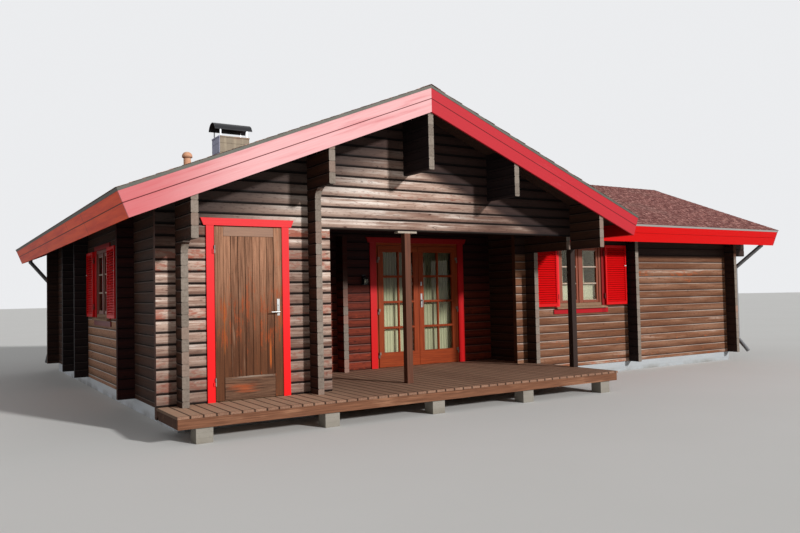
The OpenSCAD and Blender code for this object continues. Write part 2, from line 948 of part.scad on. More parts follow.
// Fixed halves stand below the moving halves
module fixed_hinges(zs, arm_x, arm_y) {
    for (z = zs) hinge_half(arm_x, arm_y, z - hinge_h - seat / 2);
}

module moving_hinges(zs, arm_x, arm_y) {
    for (z = zs) hinge_half(arm_x, arm_y, z + seat / 2);
}

door_hinge_zs = [220, 1740];
french_hinge_zs = [200, 900, 1740];

// Two side boards and a head board with splayed ends, round an opening at the origin
module trim_boards(w, h, side) {
    head_h = 85;
    head_over = 30;
    splay = 36;
    head_t = trim_t + 6;
    for (i = [0, 1]) mirror([i, 0, 0])
        translate([w / 2, -trim_t, 0]) cube([side, trim_t, h - seat]);
    half = w / 2 + side + head_over;
    rotate([90, 0, 0]) linear_extrude(head_t)
        polygon([[-half, h], [half, h], [half + splay, h + head_h], [-half - splay, h + head_h]]);
}

module door_trims() {
    color("red") {
        translate([door_x, 0, deck_z]) trim_boards(2 * door_side, head_z - deck_z, trim_side);
        translate([door_x - door_w / 2 - hinge_side, -leaf_t / 2 - hinge_out, leaf_z])
            fixed_hinges(door_hinge_zs, -hinge_arm - 5, hinge_out + leaf_t / 2 - trim_t + 1);
        translate([french_x, porch_d, deck_z])
            trim_boards(french_open - 2 * trim_over, head_z - deck_z, french_trim);
    }
}

trim_side = 90;
trim_over = 15;
french_trim = trim_side + 25;
leaf_z = deck_z + 8;
leaf_h = head_z - leaf_z - 2 * door_gap;

// Framed leaf with a field for boards, a kick board, hinges and a lever handle
module plank_door() {
    x = door_x - door_w / 2;
    stile = 104;
    field = 9;
    top_rail = 110;
    kick_z0 = 20;
    kick_h = 270;
    kick_t = 8;
    plate = [42, 4, 230];
    plate_x = door_w - stile + 31;
    plate_z = 880;
    lever = [119, 14, 18];
    lever_out = 42;
    spindle_z = plate_z + 120;
    color("chocolate") translate([x, -leaf_t / 2, leaf_z]) {
        difference() {
            cube([door_w, leaf_t, leaf_h]);
            translate([stile, -1, kick_h]) cube([door_w - 2 * stile, field + 1,
                leaf_h - kick_h - top_rail]);
        }
        translate([stile, -kick_t, kick_z0])
            cube([door_w - 2 * stile, kick_t + 1, kick_h - kick_z0]);
        translate([-hinge_side, -hinge_out, 0])
            moving_hinges(door_hinge_zs, 2 * hinge_arm, hinge_out + 1);
        // Long plate and lever on the outside
        translate([plate_x, -plate[1], plate_z]) cube(plate + [0, 1, 0]);
        translate([plate_x + plate[0] / 2, 0, spindle_z]) rotate([90, 0, 0])
            cylinder(d = lever[2], h = lever_out + lever[1] / 2);
        translate([plate_x + plate[0] / 2 + lever[2] / 2 - lever[0],
            -lever_out - lever[1], spindle_z - lever[2] / 2]) cube(lever);
    }
}

glass_t = 4;
pane_side = 95;
bottom_rail = 230;
bar = 22;
glass_in = 8;

// Glazed leaf: frame and glazing bars, with its hinge side at x = 0
module glazed_leaf(w, h) {
    pane_w = (w - 2 * pane_side - bar) / 2;
    pane_h = (h - pane_side - bottom_rail - 3 * bar) / 4;
    translate([-hinge_side, -hinge_out, 0])
        moving_hinges(french_hinge_zs, 1.5 * hinge_arm, hinge_out + 1);
    difference() {
        cube([w, leaf_t, h]);
        for (i = [0, 1], j = [0:3])
            translate([pane_side + i * (pane_w + bar), -1, bottom_rail + j * (pane_h + bar)])
                cube([pane_w, leaf_t + 2, pane_h]);
        leaf_glass(w, h, glass_in, glass_t + 2 * seat);
    }
}

// Sheet of glass that reaches into the frame, or its groove
module leaf_glass(w, h, reach, t) {
    translate([pane_side - reach, (leaf_t - t) / 2, bottom_rail - reach])
        cube([w - 2 * pane_side + 2 * reach, t, h - pane_side - bottom_rail + 2 * reach]);
}

french_leaf_w = (french_w - door_gap) / 2;
french_y = porch_d - leaf_proud;
french_h = head_z - french_frame - leaf_z;

module french_left_place() {
    translate([french_x - french_w / 2, french_y, leaf_z]) children();
}

module french_right_place() {
    translate([french_x + french_w / 2, french_y, leaf_z]) mirror([1, 0, 0]) children();
}

module french_door_left() {
    color("chocolate") french_left_place() glazed_leaf(french_leaf_w, french_h);
}

module french_door_right() {
    color("chocolate") french_right_place() glazed_leaf(french_leaf_w, french_h);
}

module french_glass_left() {
    color("lightblue", 0.4) french_left_place()
        leaf_glass(french_leaf_w, french_h, glass_in - 1, glass_t);
}

module french_glass_right() {
    color("lightblue", 0.4) french_right_place()
        leaf_glass(french_leaf_w, french_h, glass_in - 1, glass_t);
}

// Long plate with a lever that hangs down
module french_door_handle() {
    plate = [34, 4, 230];
    lever = [18, 14, 120];
    lever_out = 38;
    spindle_z = 120;
    color("silver") french_right_place()
        translate([french_leaf_w - (pane_side + plate[0]) / 2, 0, 950]) {
            translate([0, -plate[1], 0]) cube(plate);
            translate([plate[0] / 2, -plate[1], spindle_z]) rotate([90, 0, 0])
                cylinder(d = lever[0], h = lever_out + 2);
            translate([(plate[0] - lever[0]) / 2, -lever_out - lever[1], 10]) cube(lever);
        }
}

// Puts a window built facing -Y into the wing front, or into the left wall
module at_wing_window() {
    translate([half_w + wing_bay / 2, wing_y, window_z]) children();
}

module at_left_window() {
    translate([-outer_x, left_window_y, window_z]) rotate([0, 0, -90]) children();
}

frame_side = 55;
sash_side = 48;
mullion = 70;
rebate = 8;
pane_y = 33;
sash_back = 14;
sill = [window_w + 2 * casing, 60, 30];
sill_below = 12;

module window_frame() {
    light_w = (window_w - 2 * frame_side - mullion) / 2;
    // Outer frame with a mullion, and two sashes set back in it
    difference() {
        translate([-window_w / 2, 0, 0]) cube([window_w, log_t, window_h]);
        for (i = [-1, 1])
            translate([i * (light_w + mullion) / 2 - light_w / 2 + sash_side, -1,
                frame_side + sash_side])
                cube([light_w - 2 * sash_side, log_t + 2,
                    window_h - 2 * frame_side - 2 * sash_side]);
        for (i = [-1, 1])
            translate([i * (light_w + mullion) / 2 - light_w / 2, -1, frame_side])
                cube([light_w, sash_back + 1, window_h - 2 * frame_side]);
        for (i = [-1, 1])
            translate([i * (light_w + mullion) / 2 - light_w / 2 + sash_side - rebate,
                pane_y - seat, frame_side + sash_side - rebate])
                cube([light_w - 2 * sash_side + 2 * rebate, glass_t + 2 * seat,
                    window_h - 2 * frame_side - 2 * sash_side + 2 * rebate]);
    }
    // Sill board
    translate([-sill[0] / 2, -sill[1], -sill_below - sill[2]]) cube(sill);
}

module window_frames() {
    color("chocolate") {
        at_wing_window() window_frame();
        at_left_window() window_frame();
    }
}

module window_panes() {
    light_w = (window_w - 2 * frame_side - mullion) / 2;
    for (i = [-1, 1])
        translate([i * (light_w + mullion) / 2 - light_w / 2 + sash_side - rebate + 1,
            pane_y, frame_side + sash_side - rebate + 1])
            cube([light_w - 2 * sash_side + 2 * rebate - 2, glass_t,
                window_h - 2 * frame_side - 2 * sash_side + 2 * rebate - 2]);
}

module window_glass() {
    color("lightblue", 0.4) {
        at_wing_window() window_panes();
        at_left_window() window_panes();
    }
}

casing_t = 18;

// Red boards round a window, with the fixed halves of the shutter hinges
module window_trim() {
    apron = [sill[0] + 80, casing_t, 80];
    head_h = 70;
    translate([-apron[0] / 2, -casing_t, -sill_below - sill[2] - 3 - apron[2]]) cube(apron);
    translate([-sill[0] / 2, -casing_t, window_h + seat]) cube([sill[0], casing_t, head_h]);
    for (side = [0, 1]) mirror([side, 0, 0]) {
        translate([-window_w / 2 - casing, -casing_t, -sill_below])
            cube([casing, casing_t, window_h + sill_below]);
        translate([-window_w / 2 - casing / 2, -shutter_axis, 0])
            fixed_hinges(shutter_hinge_zs, -14, shutter_axis - casing_t + 1);
    }
}

module window_trims() {
    color("red") {
        at_wing_window() window_trim();
        at_left_window() window_trim();
    }
}

shutter_back = 24;
shutter_axis = shutter_back + shutter_t / 2;
shutter_foot = 8;
shutter_hinge_zs = [170, 930];
shutter_rail = 50;
shutter_stile = 34;
slat_pitch = 38;
slat_w = 38;
slat_t = 8;
slat_lean = 50;

// Louvred shutter standing open, with its hinge edge at x = 0
module shutter() {
    h = window_h - 2 * shutter_foot;
    n = floor((h - 2 * shutter_rail) / slat_pitch);
    step = (h - 2 * shutter_rail) / n;
    translate([shutter_throw, -shutter_axis, 0])
        moving_hinges(shutter_hinge_zs, -shutter_throw - hinge_arm, 5);
    translate([-shutter_w, -shutter_back - shutter_t, shutter_foot]) {
        difference() {
            cube([shutter_w, shutter_t, h]);
            translate([shutter_stile, -1, shutter_rail])
                cube([shutter_w - 2 * shutter_stile, shutter_t + 2, h - 2 * shutter_rail]);
        }
        for (i = [0:n - 1])
            translate([shutter_stile - 1, shutter_t / 2, shutter_rail + (i + 0.5) * step])
                rotate([slat_lean, 0, 0]) translate([0, -slat_w / 2, -slat_t / 2])
                    cube([shutter_w - 2 * shutter_stile + 2, slat_w, slat_t]);
    }
}

module shutter_left_place() {
    translate([-window_w / 2 - casing / 2 - shutter_throw, 0, 0]) children();
}

module shutter_right_place() {
    mirror([1, 0, 0]) shutter_left_place() children();
}

module wing_shutter_left() {
    color("red") at_wing_window() shutter_left_place() shutter();
}

module wing_shutter_right() {
    color("red") at_wing_window() shutter_right_place() shutter();
}

module left_shutter_rear() {
    color("red") at_left_window() shutter_left_place() shutter();
}

module left_shutter_front() {
    color("red") at_left_window() shutter_right_place() shutter();
}

curtain_t = 20;
curtain_in = 20;

module window_curtain(i) {
    translate([(i - 1) * window_w / 2 + curtain_in, log_t + seat, curtain_in])
        cube([window_w / 2 - 2 * curtain_in, curtain_t, window_h - 2 * curtain_in]);
}

module curtains() {
    color("white") {
        for (i = [0, 1]) {
            at_wing_window() window_curtain(i);
            at_left_window() window_curtain(i);
            translate([french_x, porch_back + seat, deck_z + 2 * curtain_in]) mirror([i, 0, 0])
                translate([-french_w / 2 + curtain_in, 0, 0])
                    cube([french_w / 2 - curtain_in - pane_side, curtain_t,
                        head_z - deck_z - 3 * curtain_in]);
        }
    }
}

// Lantern with a sloping top on a back plate, beside the trim of the glazed doors
module wall_lamp() {
    w = 84;
    h = 150;
    out = 95;
    plate_in = 8;
    plate_t = 10;
    x = french_x - french_open / 2 + trim_over - french_trim - 71 - w;
    color("black") translate([x, porch_d, 1650]) {
        translate([plate_in, -plate_t, -plate_in])
            cube([w - 2 * plate_in, plate_t, h + 2 * plate_in]);
        rotate([90, 0, 90]) linear_extrude(w)
            polygon([[1 - plate_t, 0], [22 - out, 0], [-out, h - 40], [1 - plate_t, h]]);
    }
}

// Moves the cabin so that its box stands centred on the origin
module placed() {
    translate([-centre_x, -centre_y, 0]) children();
}

placed() foundation();
placed() floor();
placed() deck_frame();
placed() deck_boards();
placed() posts();
placed() store_wall_left();
placed() store_wall_right();
placed() front_gable();
placed() left_wall();
placed() porch_side_wall();
placed() porch_back_wall_left();
placed() porch_back_wall_right();
placed() porch_back_wall_head();
placed() right_wall();
placed() back_walls();
placed() wing_front_wall();
placed() wing_right_wall();
placed() cross_log_ends();
placed() purlins();
placed() roof_panels();
placed() roof_shingles();
placed() barge_boards();
placed() eave_boards();
placed() roof_edging();
placed() chimney();
placed() chimney_cap();
placed() vent_pipe();
placed() downpipes();
placed() door_frames();
placed() door_trims();
placed() plank_door();
placed() french_door_left();
placed() french_door_right();
placed() french_glass_left();
placed() french_glass_right();
placed() french_door_handle();
placed() window_frames();
placed() window_glass();
placed() window_trims();
placed() wing_shutter_left();
placed() wing_shutter_right();
placed() left_shutter_rear();
placed() left_shutter_front();
placed() curtains();
placed() wall_lamp();
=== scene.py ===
import math
import random

import bmesh
import bpy
from mathutils import Matrix, Vector


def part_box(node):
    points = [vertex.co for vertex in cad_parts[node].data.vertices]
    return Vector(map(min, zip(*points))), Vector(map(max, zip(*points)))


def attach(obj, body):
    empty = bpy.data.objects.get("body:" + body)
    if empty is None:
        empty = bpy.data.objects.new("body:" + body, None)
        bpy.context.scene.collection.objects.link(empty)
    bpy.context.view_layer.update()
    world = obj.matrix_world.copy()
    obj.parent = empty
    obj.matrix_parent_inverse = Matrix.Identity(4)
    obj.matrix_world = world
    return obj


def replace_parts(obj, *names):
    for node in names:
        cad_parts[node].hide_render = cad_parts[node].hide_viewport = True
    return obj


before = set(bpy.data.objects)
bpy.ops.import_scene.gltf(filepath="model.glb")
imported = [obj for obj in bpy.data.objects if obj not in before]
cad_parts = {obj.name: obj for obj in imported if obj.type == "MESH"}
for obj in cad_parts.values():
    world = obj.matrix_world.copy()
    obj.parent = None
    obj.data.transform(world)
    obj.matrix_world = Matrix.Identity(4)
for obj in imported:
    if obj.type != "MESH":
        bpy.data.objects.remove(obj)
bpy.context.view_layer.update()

# ---- View and light ----
# The cabin stands on a pale studio floor, seen from its front left at eye height.
# A lamp to the front right lights the front; the sky fills the shade on the left wall.
scene = bpy.context.scene


def in_scene(name, data):
    """Puts a mesh, a lamp or the camera into the scene."""
    thing = bpy.data.objects.new(name, data)
    scene.collection.objects.link(thing)
    return thing


eye = Vector((-8.0477, -12.8503, 1.4963))
turn, tilt, lean = math.radians(32.204), math.radians(2.072), math.radians(-1.215)
camera = in_scene("view", bpy.data.cameras.new("view"))
camera.data.sensor_width = 36
camera.data.lens = 33.507
camera.matrix_world = (Matrix.Translation(eye) @ Matrix.Rotation(-turn, 4, "Z")
                       @ Matrix.Rotation(math.pi / 2 + tilt, 4, "X")
                       @ Matrix.Rotation(lean, 4, "Z"))
scene.camera = camera
scene.view_settings.view_transform = "Standard"

lamp_aside, lamp_up = math.radians(22), math.radians(19.5)
lamp_from = Vector((math.sin(lamp_aside) * math.cos(lamp_up),
                    -math.cos(lamp_aside) * math.cos(lamp_up), math.sin(lamp_up)))
lamp = in_scene("front_lamp", bpy.data.lights.new("front_lamp", "SUN"))
lamp.data.energy = 3.25
lamp.data.angle = math.radians(4)
lamp.rotation_euler = (-lamp_from).to_track_quat("-Z", "Y").to_euler()


class Tone:
    """A number, colour or place in the nodes of a finish, for use in plain sums."""

    def __init__(self, socket):
        self.socket = socket

    def node(self, kind, settings=None, values=None, out=0):
        """Adds any node beside this one and returns one of its outputs."""
        made = self.socket.id_data.nodes.new("ShaderNode" + kind)
        for name, setting in (settings or {}).items():
            setattr(made, name, setting)
        for name, value in (values or {}).items():
            if isinstance(value, Tone):
                made.id_data.links.new(value.socket, made.inputs[name])
            else:
                made.inputs[name].default_value = value
        return Tone(made.outputs[out])

    def maths(self, operation, *others):
        return self.node("Math", {"operation": operation}, dict(enumerate((self, *others))))

    # Sums, comparisons, the larger and the smaller of this and another tone or number
    def _pair(operation):
        return lambda self, other: self.maths(operation, other)

    __add__ = __radd__ = _pair("ADD")
    __mul__ = __rmul__ = _pair("MULTIPLY")
    __sub__, __truediv__ = _pair("SUBTRACT"), _pair("DIVIDE")
    __gt__, __lt__ = _pair("GREATER_THAN"), _pair("LESS_THAN")
    __or__, capped = _pair("MAXIMUM"), _pair("MINIMUM")

    def __rsub__(self, other):
        return self.node("Math", {"operation": "SUBTRACT"}, {0: other, 1: self})

    def __abs__(self):
        return self.maths("ABSOLUTE")

    def whole(self):
        return self.maths("FLOOR")

    def share(self):
        return self.maths("FRACT")

    def length(self):
        return self.node("VectorMath", {"operation": "LENGTH"}, {0: self}, 1)

    def rise(self, low, high):
        """Goes smoothly from 0 at low to 1 at high."""
        return self.node("MapRange", {"interpolation_type": "SMOOTHSTEP"},
                         {"Value": self, "From Min": low, "From Max": high})

    def blend(self, under, over):
        """The colour under where this is 0, and over where it is 1."""
        under, over = (v if isinstance(v, Tone) else shade(v) for v in (under, over))
        return self.node("Mix", {"data_type": "RGBA"}, {0: self, 6: under, 7: over}, 2)

    def parts(self):
        return [Tone(out) for out in self.node("SeparateXYZ", {}, {0: self}).socket.node.outputs]

    def chance(self):
        """A number from 0 to 1 that is the same for the same whole number."""
        return self.node("TexWhiteNoise", {"noise_dimensions": "1D"}, {"W": self + 0.5})

    def bump(self, depth):
        return self.node("Bump", {}, {"Height": self, "Distance": depth, "Strength": 1.0})

    def spots(self, scale, spread):
        """Distance to the nearest of many scattered points."""
        return self.node("TexVoronoi", {},
                         {"Vector": self, "Scale": scale, "Randomness": spread})


def shade(colour):
    """The shader's value of a colour that is given as on a paint chart, from 0 to 255."""
    return tuple(v / 255 / 12.92 if v <= 10 else ((v / 255 + 0.055) / 1.055) ** 2.4
                 for v in colour) + (1.0,)


def cloudy(place, scale, detail=3.0, rough=0.55):
    """Soft mottling from 0 to 1."""
    return place.node(
        "TexNoise", {}, {"Vector": place, "Scale": scale, "Detail": detail, "Roughness": rough})


def finish(name, looks):
    """A finish from a function that turns a place on the piece into the shader's values."""
    made = bpy.data.materials.new(name)
    made.use_nodes = True
    shader = made.node_tree.nodes["Principled BSDF"]
    place = Tone(made.node_tree.nodes.new("ShaderNodeTexCoord").outputs["Object"])
    for socket, value in looks(place).items():
        if isinstance(value, Tone):
            made.node_tree.links.new(value.socket, shader.inputs[socket])
        else:
            shader.inputs[socket].default_value = value
    return made


def mesh_of(name, made):
    """The finished mesh of a bmesh, which is freed."""
    data = bpy.data.meshes.new(name)
    made.to_mesh(data)
    made.free()
    return data


def studio_floor(place):
    return {"Base Color": cloudy(place, 0.4).blend((214, 213, 209), (220, 219, 216)),
            "Roughness": 0.9}


floor_mesh = bmesh.new()
bmesh.ops.create_circle(floor_mesh, cap_ends=True, segments=64, radius=160)
studio = in_scene("studio_floor", mesh_of("studio_floor", floor_mesh))
studio.data.materials.append(finish("studio_floor", studio_floor))

sky = bpy.data.worlds.new("studio_sky")
scene.world = sky
sky.use_nodes = True
sky_light = sky.node_tree.nodes["Background"]
sky_light.inputs["Color"].default_value = (0.97, 0.98, 1.0, 1.0)
ray = sky.node_tree.nodes.new("ShaderNodeLightPath")
seen = Tone(ray.outputs["Is Camera Ray"]) + Tone(ray.outputs["Is Glossy Ray"])
seen = (seen + Tone(ray.outputs["Is Transmission Ray"])).capped(1.0)
sky_lights, sky_seen = 0.33, 0.86
sky.node_tree.links.new((seen * (sky_seen - sky_lights) + sky_lights).socket,
                        sky_light.inputs["Strength"])

# ---- Foundation ----
# Concrete strips under the log walls, cast in board forms, and small cast pads under the
# deck. The strips are bluish grey and stained by rain splash; on the left, where they stand
# in shade, they are limed and painted paler still, as painted light. The pads are worn beige.
gable_low, gable_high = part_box("front_gable")
ridge_x = (gable_low.x + gable_high.x) / 2
front_y = gable_low.y
house = Matrix.Translation((ridge_x, front_y, 0))


def on_house(axes):
    """A place measured from the ridge line, the front wall and the ground."""
    x, y, z = axes
    return x - ridge_x, y - front_y, z


def dress(node, look):
    """Gives a CAD piece its finish."""
    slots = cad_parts[node].data.materials
    for i in range(len(slots)):
        slots[i] = look
    if not slots:
        slots.append(look)


form_board = 0.055


def coats(colour, *layers):
    """Lays colours over one another, each with where it lies."""
    for where, over in layers:
        colour = where.blend(colour, over)
    return colour


def surface(colour, rough, relief, depth, shine=0.12):
    """The shader's values of a dull surface with some relief."""
    return {"Base Color": colour, "Roughness": rough, "Specular IOR Level": shine,
            "Normal": relief.bump(depth)}


def cast_concrete(place):
    lx, ly, z = on_house(place.parts())
    mottled = cloudy(place, 2.2, 5)
    pores = cloudy(place, 90, 2)
    pad = ly < -0.02
    splash = z.rise(0.12, 0.0) * mottled.rise(0.35, 0.7)
    form_mark = abs((z / form_board).share() - 0.5).rise(0.47, 0.5)
    colour = coats(
        mottled.blend((158, 162, 165), (182, 186, 188)),
        (pad, mottled.blend((128, 122, 112), (158, 152, 142))),
        # Painted light: the limed strips on the left are painted paler for their shaded side
        ((lx < -3.0) * (1 - pad), mottled.blend((222, 227, 233), (238, 242, 246))),
        (splash * 0.6 + form_mark * 0.15, (112, 104, 90)))
    relief = mottled * 0.5 - form_mark * 0.3 - pores.rise(0.62, 0.7) * 0.4
    return surface(colour, 0.9, relief, 0.004, 0.15)


dress("foundation", finish("cast_concrete", cast_concrete))

# ---- Log walls ----
# Planed spruce logs, 135 mm high and 80 mm thick, notched together at every crossing.
# They were stained dark brown; sun and rain have bleached the front to silver and orange.
# The walls in the shade are nearly black with reddish hearts, partly their stain and partly
# painted shade. All logs get painted shade in their joints and along their lower halves,
# and painted highlights on their arrises and on the upper halves of bleached logs.
course, wall_foot, wall_t = 0.135, 0.165, 0.08
ridge_z, wing_front, wing_side, side_x = 4.14491, 1.05, 8.51, 3.09
verge_foot_z, verge_fall = ridge_z - 0.345, 0.4


def join3(x, y, z):
    """Three numbers as one place."""
    any_tone = next(v for v in (x, y, z) if isinstance(v, Tone))
    return any_tone.node("CombineXYZ", {}, {0: x, 1: y, 2: z})


def streaky(x, y, z, detail=3.0, rough=0.55):
    """Mottling that is drawn out, with a scale of its own along each axis."""
    return cloudy(join3(x, y, z), 1.0, detail, rough)


def log_looks(tones, wear, bare_share, turned, half_up, seed, shelter_and_shade=None, rained=None,
              gap=0.08, lit_edge=0.55):
    """Looks of stacked logs. turned and half_up are 0 or 1, or worked out from x and y;
    the sheltering mask says where a wall is kept from bleaching and gets painted shade near
    black, and rained where it is washed paler."""
    dark, stained, bleached, bare = tones

    def looks(place):
        to_x, to_y, _ = Tone(place.socket.node.outputs["Normal"]).parts()
        lx, ly, z = on_house(place.parts())
        along_y = turned(lx, ly) if callable(turned) else turned
        if isinstance(along_y, Tone):
            along = ly * along_y + lx * (1 - along_y)
            across = lx * along_y + ly * (1 - along_y)
            end = (abs(to_y) * along_y + abs(to_x) * (1 - along_y)) > 0.7
        else:
            along, across = (ly, lx) if along_y else (lx, ly)
            end = abs(to_y if along_y else to_x) > 0.7
        # Sun reaches the faces to the front and, less, those to the right
        sunny = (to_x * 0.6 - to_y).rise(0.15, 0.75)
        sheltered_and_shaded = shelter_and_shade(lx, ly, z) if shelter_and_shade else 0.0
        washed = rained(lx, ly, z) if rained else 0.0
        up = half_up(lx, ly) if callable(half_up) else half_up
        level = (z - wall_foot) / course + up * 0.5
        row = level.whole()
        height = level - row
        luck = (row + seed).chance()
        # Fibres run along the log, and each log has its own
        drift = along + luck * 37
        fibre = streaky(drift * 2.2, across * 60, z * 75, 5, 0.62)
        streak = streaky(drift * 1.1, across * 7, z * 22 + luck * 9, 3, 0.55)
        patch = streaky(drift * 2.1, across * 2, z * 6 + seed, 4, 0.6)
        broad = streaky(along * 0.6, across, z * 0.9 + seed, 2, 0.5)
        mottle = streaky(drift * 12, across * 20, z * 42, 4, 0.65)
        blob = streaky(drift * 9, across * 9, z * 26, 4, 0.6)
        # Drying cracks along the middle of some logs, and knots
        crack = abs(streaky(drift * 0.7, 0.3, z * 9, 2) - 0.5)
        crack = crack.rise(0.006, 0.0) * patch.rise(0.5, 0.62)
        knot = join3(drift * 2.6, row * 3.1 + seed, height * 0.9).spots(1.0, 0.9)
        knot = knot.rise(0.085, 0.045)
        heart = abs(height - 0.5).rise(0.45, 0.1)
        # Painted shade along the lower half of each log, as if it were rounded
        belly_shade = height.rise(0.62, 0.1)
        faded = streak * 0.8 + luck * 0.3 + broad * 0.45 + patch * 0.35 - 0.45
        faded = faded.rise(0.6 - wear, 0.95 - wear) * sunny * (1 - sheltered_and_shaded)
        silver = (fibre.rise(0.3, 0.65) * 0.6 + streak * 0.5).blend(stained, bleached)
        # A painted highlight on the upper half of each bleached log
        painted_gleam = (streak * 0.6 + patch * 0.35 + washed * 0.45).rise(0.5, 0.66) * faded
        painted_gleam = painted_gleam * height.rise(0.3, 0.7) * (wear + 0.35)
        bared = patch * 0.5 + luck * 0.3 + blob * 0.6
        bared = bared.rise(0.94 - bare_share, 1.06 - bare_share) * (1 - sheltered_and_shaded * 0.8)
        # Painted highlights on the arrises under the joints; painted shade and grime in the
        # joints over them
        arris_highlight = height.rise(0.85, 0.89) * (sunny * 0.6 + washed * 0.7 + 0.08) * (1 - sheltered_and_shaded)
        arris_highlight = (arris_highlight * lit_edge * (streak * 0.8 + 0.6)).capped(1.0)
        joint = height.rise(gap, gap - 0.05) | height.rise(0.955, 0.98)
        # Painted shade darkens the lower halves and the joints, and turns the sheltered parts
        # near black
        colour = coats(
            (fibre.rise(0.25, 0.72) * 0.6 + luck * 0.3 + heart * 0.25).blend(dark, stained),
            (washed * (fibre * 0.5 + 0.5), bleached),
            (faded * 0.95, silver),
            (painted_gleam.capped(0.85), (240, 232, 222)),
            (mottle.rise(0.52, 0.68) * 0.5, dark),
            (belly_shade * 0.42, dark),
            (bared * fibre.rise(0.2, 0.6) * 0.8, bare),
            (knot * 0.75, dark),
            (arris_highlight, (206, 192, 182)),
            *([(sheltered_and_shaded * 0.86, (22, 16, 19))] if shelter_and_shade else []),
            (joint * 0.92, (12, 9, 8)),
            (crack * 0.7, (24, 18, 15)))
        # End grain: grey, with fine growth rings round a pith below the log's middle. It takes
        # the dark tone where it faces away from the sun and in sheltered parts, partly unbleached
        # and partly painted shade.
        ring = join3((height - 0.25 + luck * 0.4) * course, across, 0.0).length()
        ring = (ring * 1500 + fibre * 4).maths("SINE") * 0.5 + 0.5
        grain_end = streaky(along * 2, across * 45, z * 45, 4, 0.6)
        grey_end = (ring * 0.2 + grain_end * 0.6 + luck * 0.25).rise(0.2, 0.85)
        grey_end = coats(grey_end.blend((106, 94, 84), (152, 140, 128)),
                         (luck.rise(0.7, 0.9) * 0.3, bare))
        grey_end = (sunny * (1 - sheltered_and_shaded)).blend(dark, grey_end)
        grey_end = coats(grey_end, (joint * 0.35, (60, 50, 42)))
        return surface(end.blend(colour, grey_end), 0.7 + faded * 0.15,
                       fibre * 0.5 + streak * 0.4 - crack - knot * 0.2, 0.0025)

    return looks


# Dark, stained, bleached and bare wood. The walls in shade get darker tones, partly their
# unbleached stain and partly painted shade; the fins' and purlins' tones are near black, as
# painted shade.
front_tones = (76, 49, 40), (145, 106, 88), (216, 192, 175), (154, 66, 42)
shade_tones = (38, 27, 23), (74, 48, 36), (196, 146, 116), (116, 66, 46)
fin_shade_tones = (26, 20, 22), (42, 32, 31), (120, 96, 84), (70, 42, 34)
porch_tones = (52, 18, 11), (136, 56, 36), (160, 90, 68), (156, 64, 38)
wing_tones = (78, 47, 32), (126, 82, 56), (170, 130, 104), (160, 80, 40)


def under_front_verge(lx, ly, z):
    """Painted shadow of the roof under the verges, wider on the right; painted shade beside the
    door; darker right of the ridge, partly stain and partly painted shade; and darker low down.
    """
    below = verge_foot_z - verge_fall * abs(lx) - z
    verge = (lx > 0.02) * below.rise(0.66, 0.46) + (lx < 0.02) * below.rise(0.75, 0.15)
    beside = lx.rise(-1.9, -1.75) * (lx < -1.42) * (z < 2.1) * 0.3
    browner = lx.rise(0.5, 1.5) * 0.45
    darker_low = z.rise(1.5, 0.2) * 0.42
    return verge | beside | (browner | darker_low)


def silver_gable(lx, ly, z):
    """Paler high on the left, and along the lowest logs over the porch."""
    low_logs = (z < 2.63) * lx.rise(1.9, 0.3) * 0.07
    return (z > 2.3) * (lx.rise(0.3, -1.3) * 0.45 + low_logs + 0.04)


def under_left_window(lx, ly, z):
    return ly.rise(2.0, 2.2) * ly.rise(5.6, 5.4) * z.rise(1.4, 1.1)


# Painted shade high in the porch, and on its walls' parts outside it
def deep_in_porch(lx, ly, z):
    return z.rise(0.9, 2.0) | (lx.rise(3.05, 3.1) | lx.rise(-1.35, -1.45))


def greyed_logs(lx, ly, z):
    return streaky(lx * 0.7, 0.0, z * 8, 3, 0.6).rise(0.42, 0.66) * 0.5


def under_wing_eave(lx, ly, z):
    """Painted shade under the eave, on the side of the last fin, and left of the whole house."""
    fin_side = (ly < wing_front - 0.005) * (lx > 5) * (lx < wing_side - wall_t + 0.002)
    return z.rise(2.02, 2.14) | fin_side | lx.rise(-3.02, -3.08)


def in_porch_stack(lx, ly):
    return ly < 2.0098


# Each with its walls, its woods, how worn and how bare they are, its turn, its half course,
# a seed for its luck, its sheltered parts with painted shade, its rain, and the width of the
# painted shade in its joints and the strength of the painted highlight on its arrises
log_finishes = {
    "logs_front": (("store_wall_left", "store_wall_right", "front_gable"), front_tones,
                   0.38, 0.18, 0, 0, 3, under_front_verge, silver_gable, 0.2, 0.35),
    "logs_left": (("left_wall",), shade_tones, 0.1, 0.0, 1, 1, 11, None, under_left_window,
                  0.08, 1.2),
    "logs_porch_side": (("porch_side_wall",), shade_tones, 0.1, 0.0, 1, 1, 17),
    "logs_right": (("right_wall",), shade_tones, 0.1, -0.05, 1, 1, 23),
    "logs_porch_back": (("porch_back_wall_right", "porch_back_wall_head"), porch_tones,
                        -0.2, 0.1, 0, 0, 31, deep_in_porch, None, 0.08, 0.15),
    "logs_porch_back_left": (("porch_back_wall_left",), porch_tones, -0.2, 0.1,
                             in_porch_stack, in_porch_stack, 31, deep_in_porch, None, 0.08, 0.15),
    "logs_wing": (("wing_front_wall", "back_walls"), wing_tones, 0.04, 0.1, 0, 1, 41,
                  under_wing_eave, greyed_logs, 0.08, 0.5),
    "logs_wing_end": (("wing_right_wall",), wing_tones, 0.0, 0.02, 1, 0, 47, under_wing_eave),
    "logs_crossed": (("cross_log_ends",), fin_shade_tones, -0.3, -0.05, lambda lx, ly: lx > 4.5, 0,
                     53, None, None, 0.08, 0.08),
    "logs_purlins": (("purlins",), fin_shade_tones, -0.3, -0.05, lambda lx, ly: lx < side_x, 0.5,
                     59, None, None, 0.08, 0.08),
}
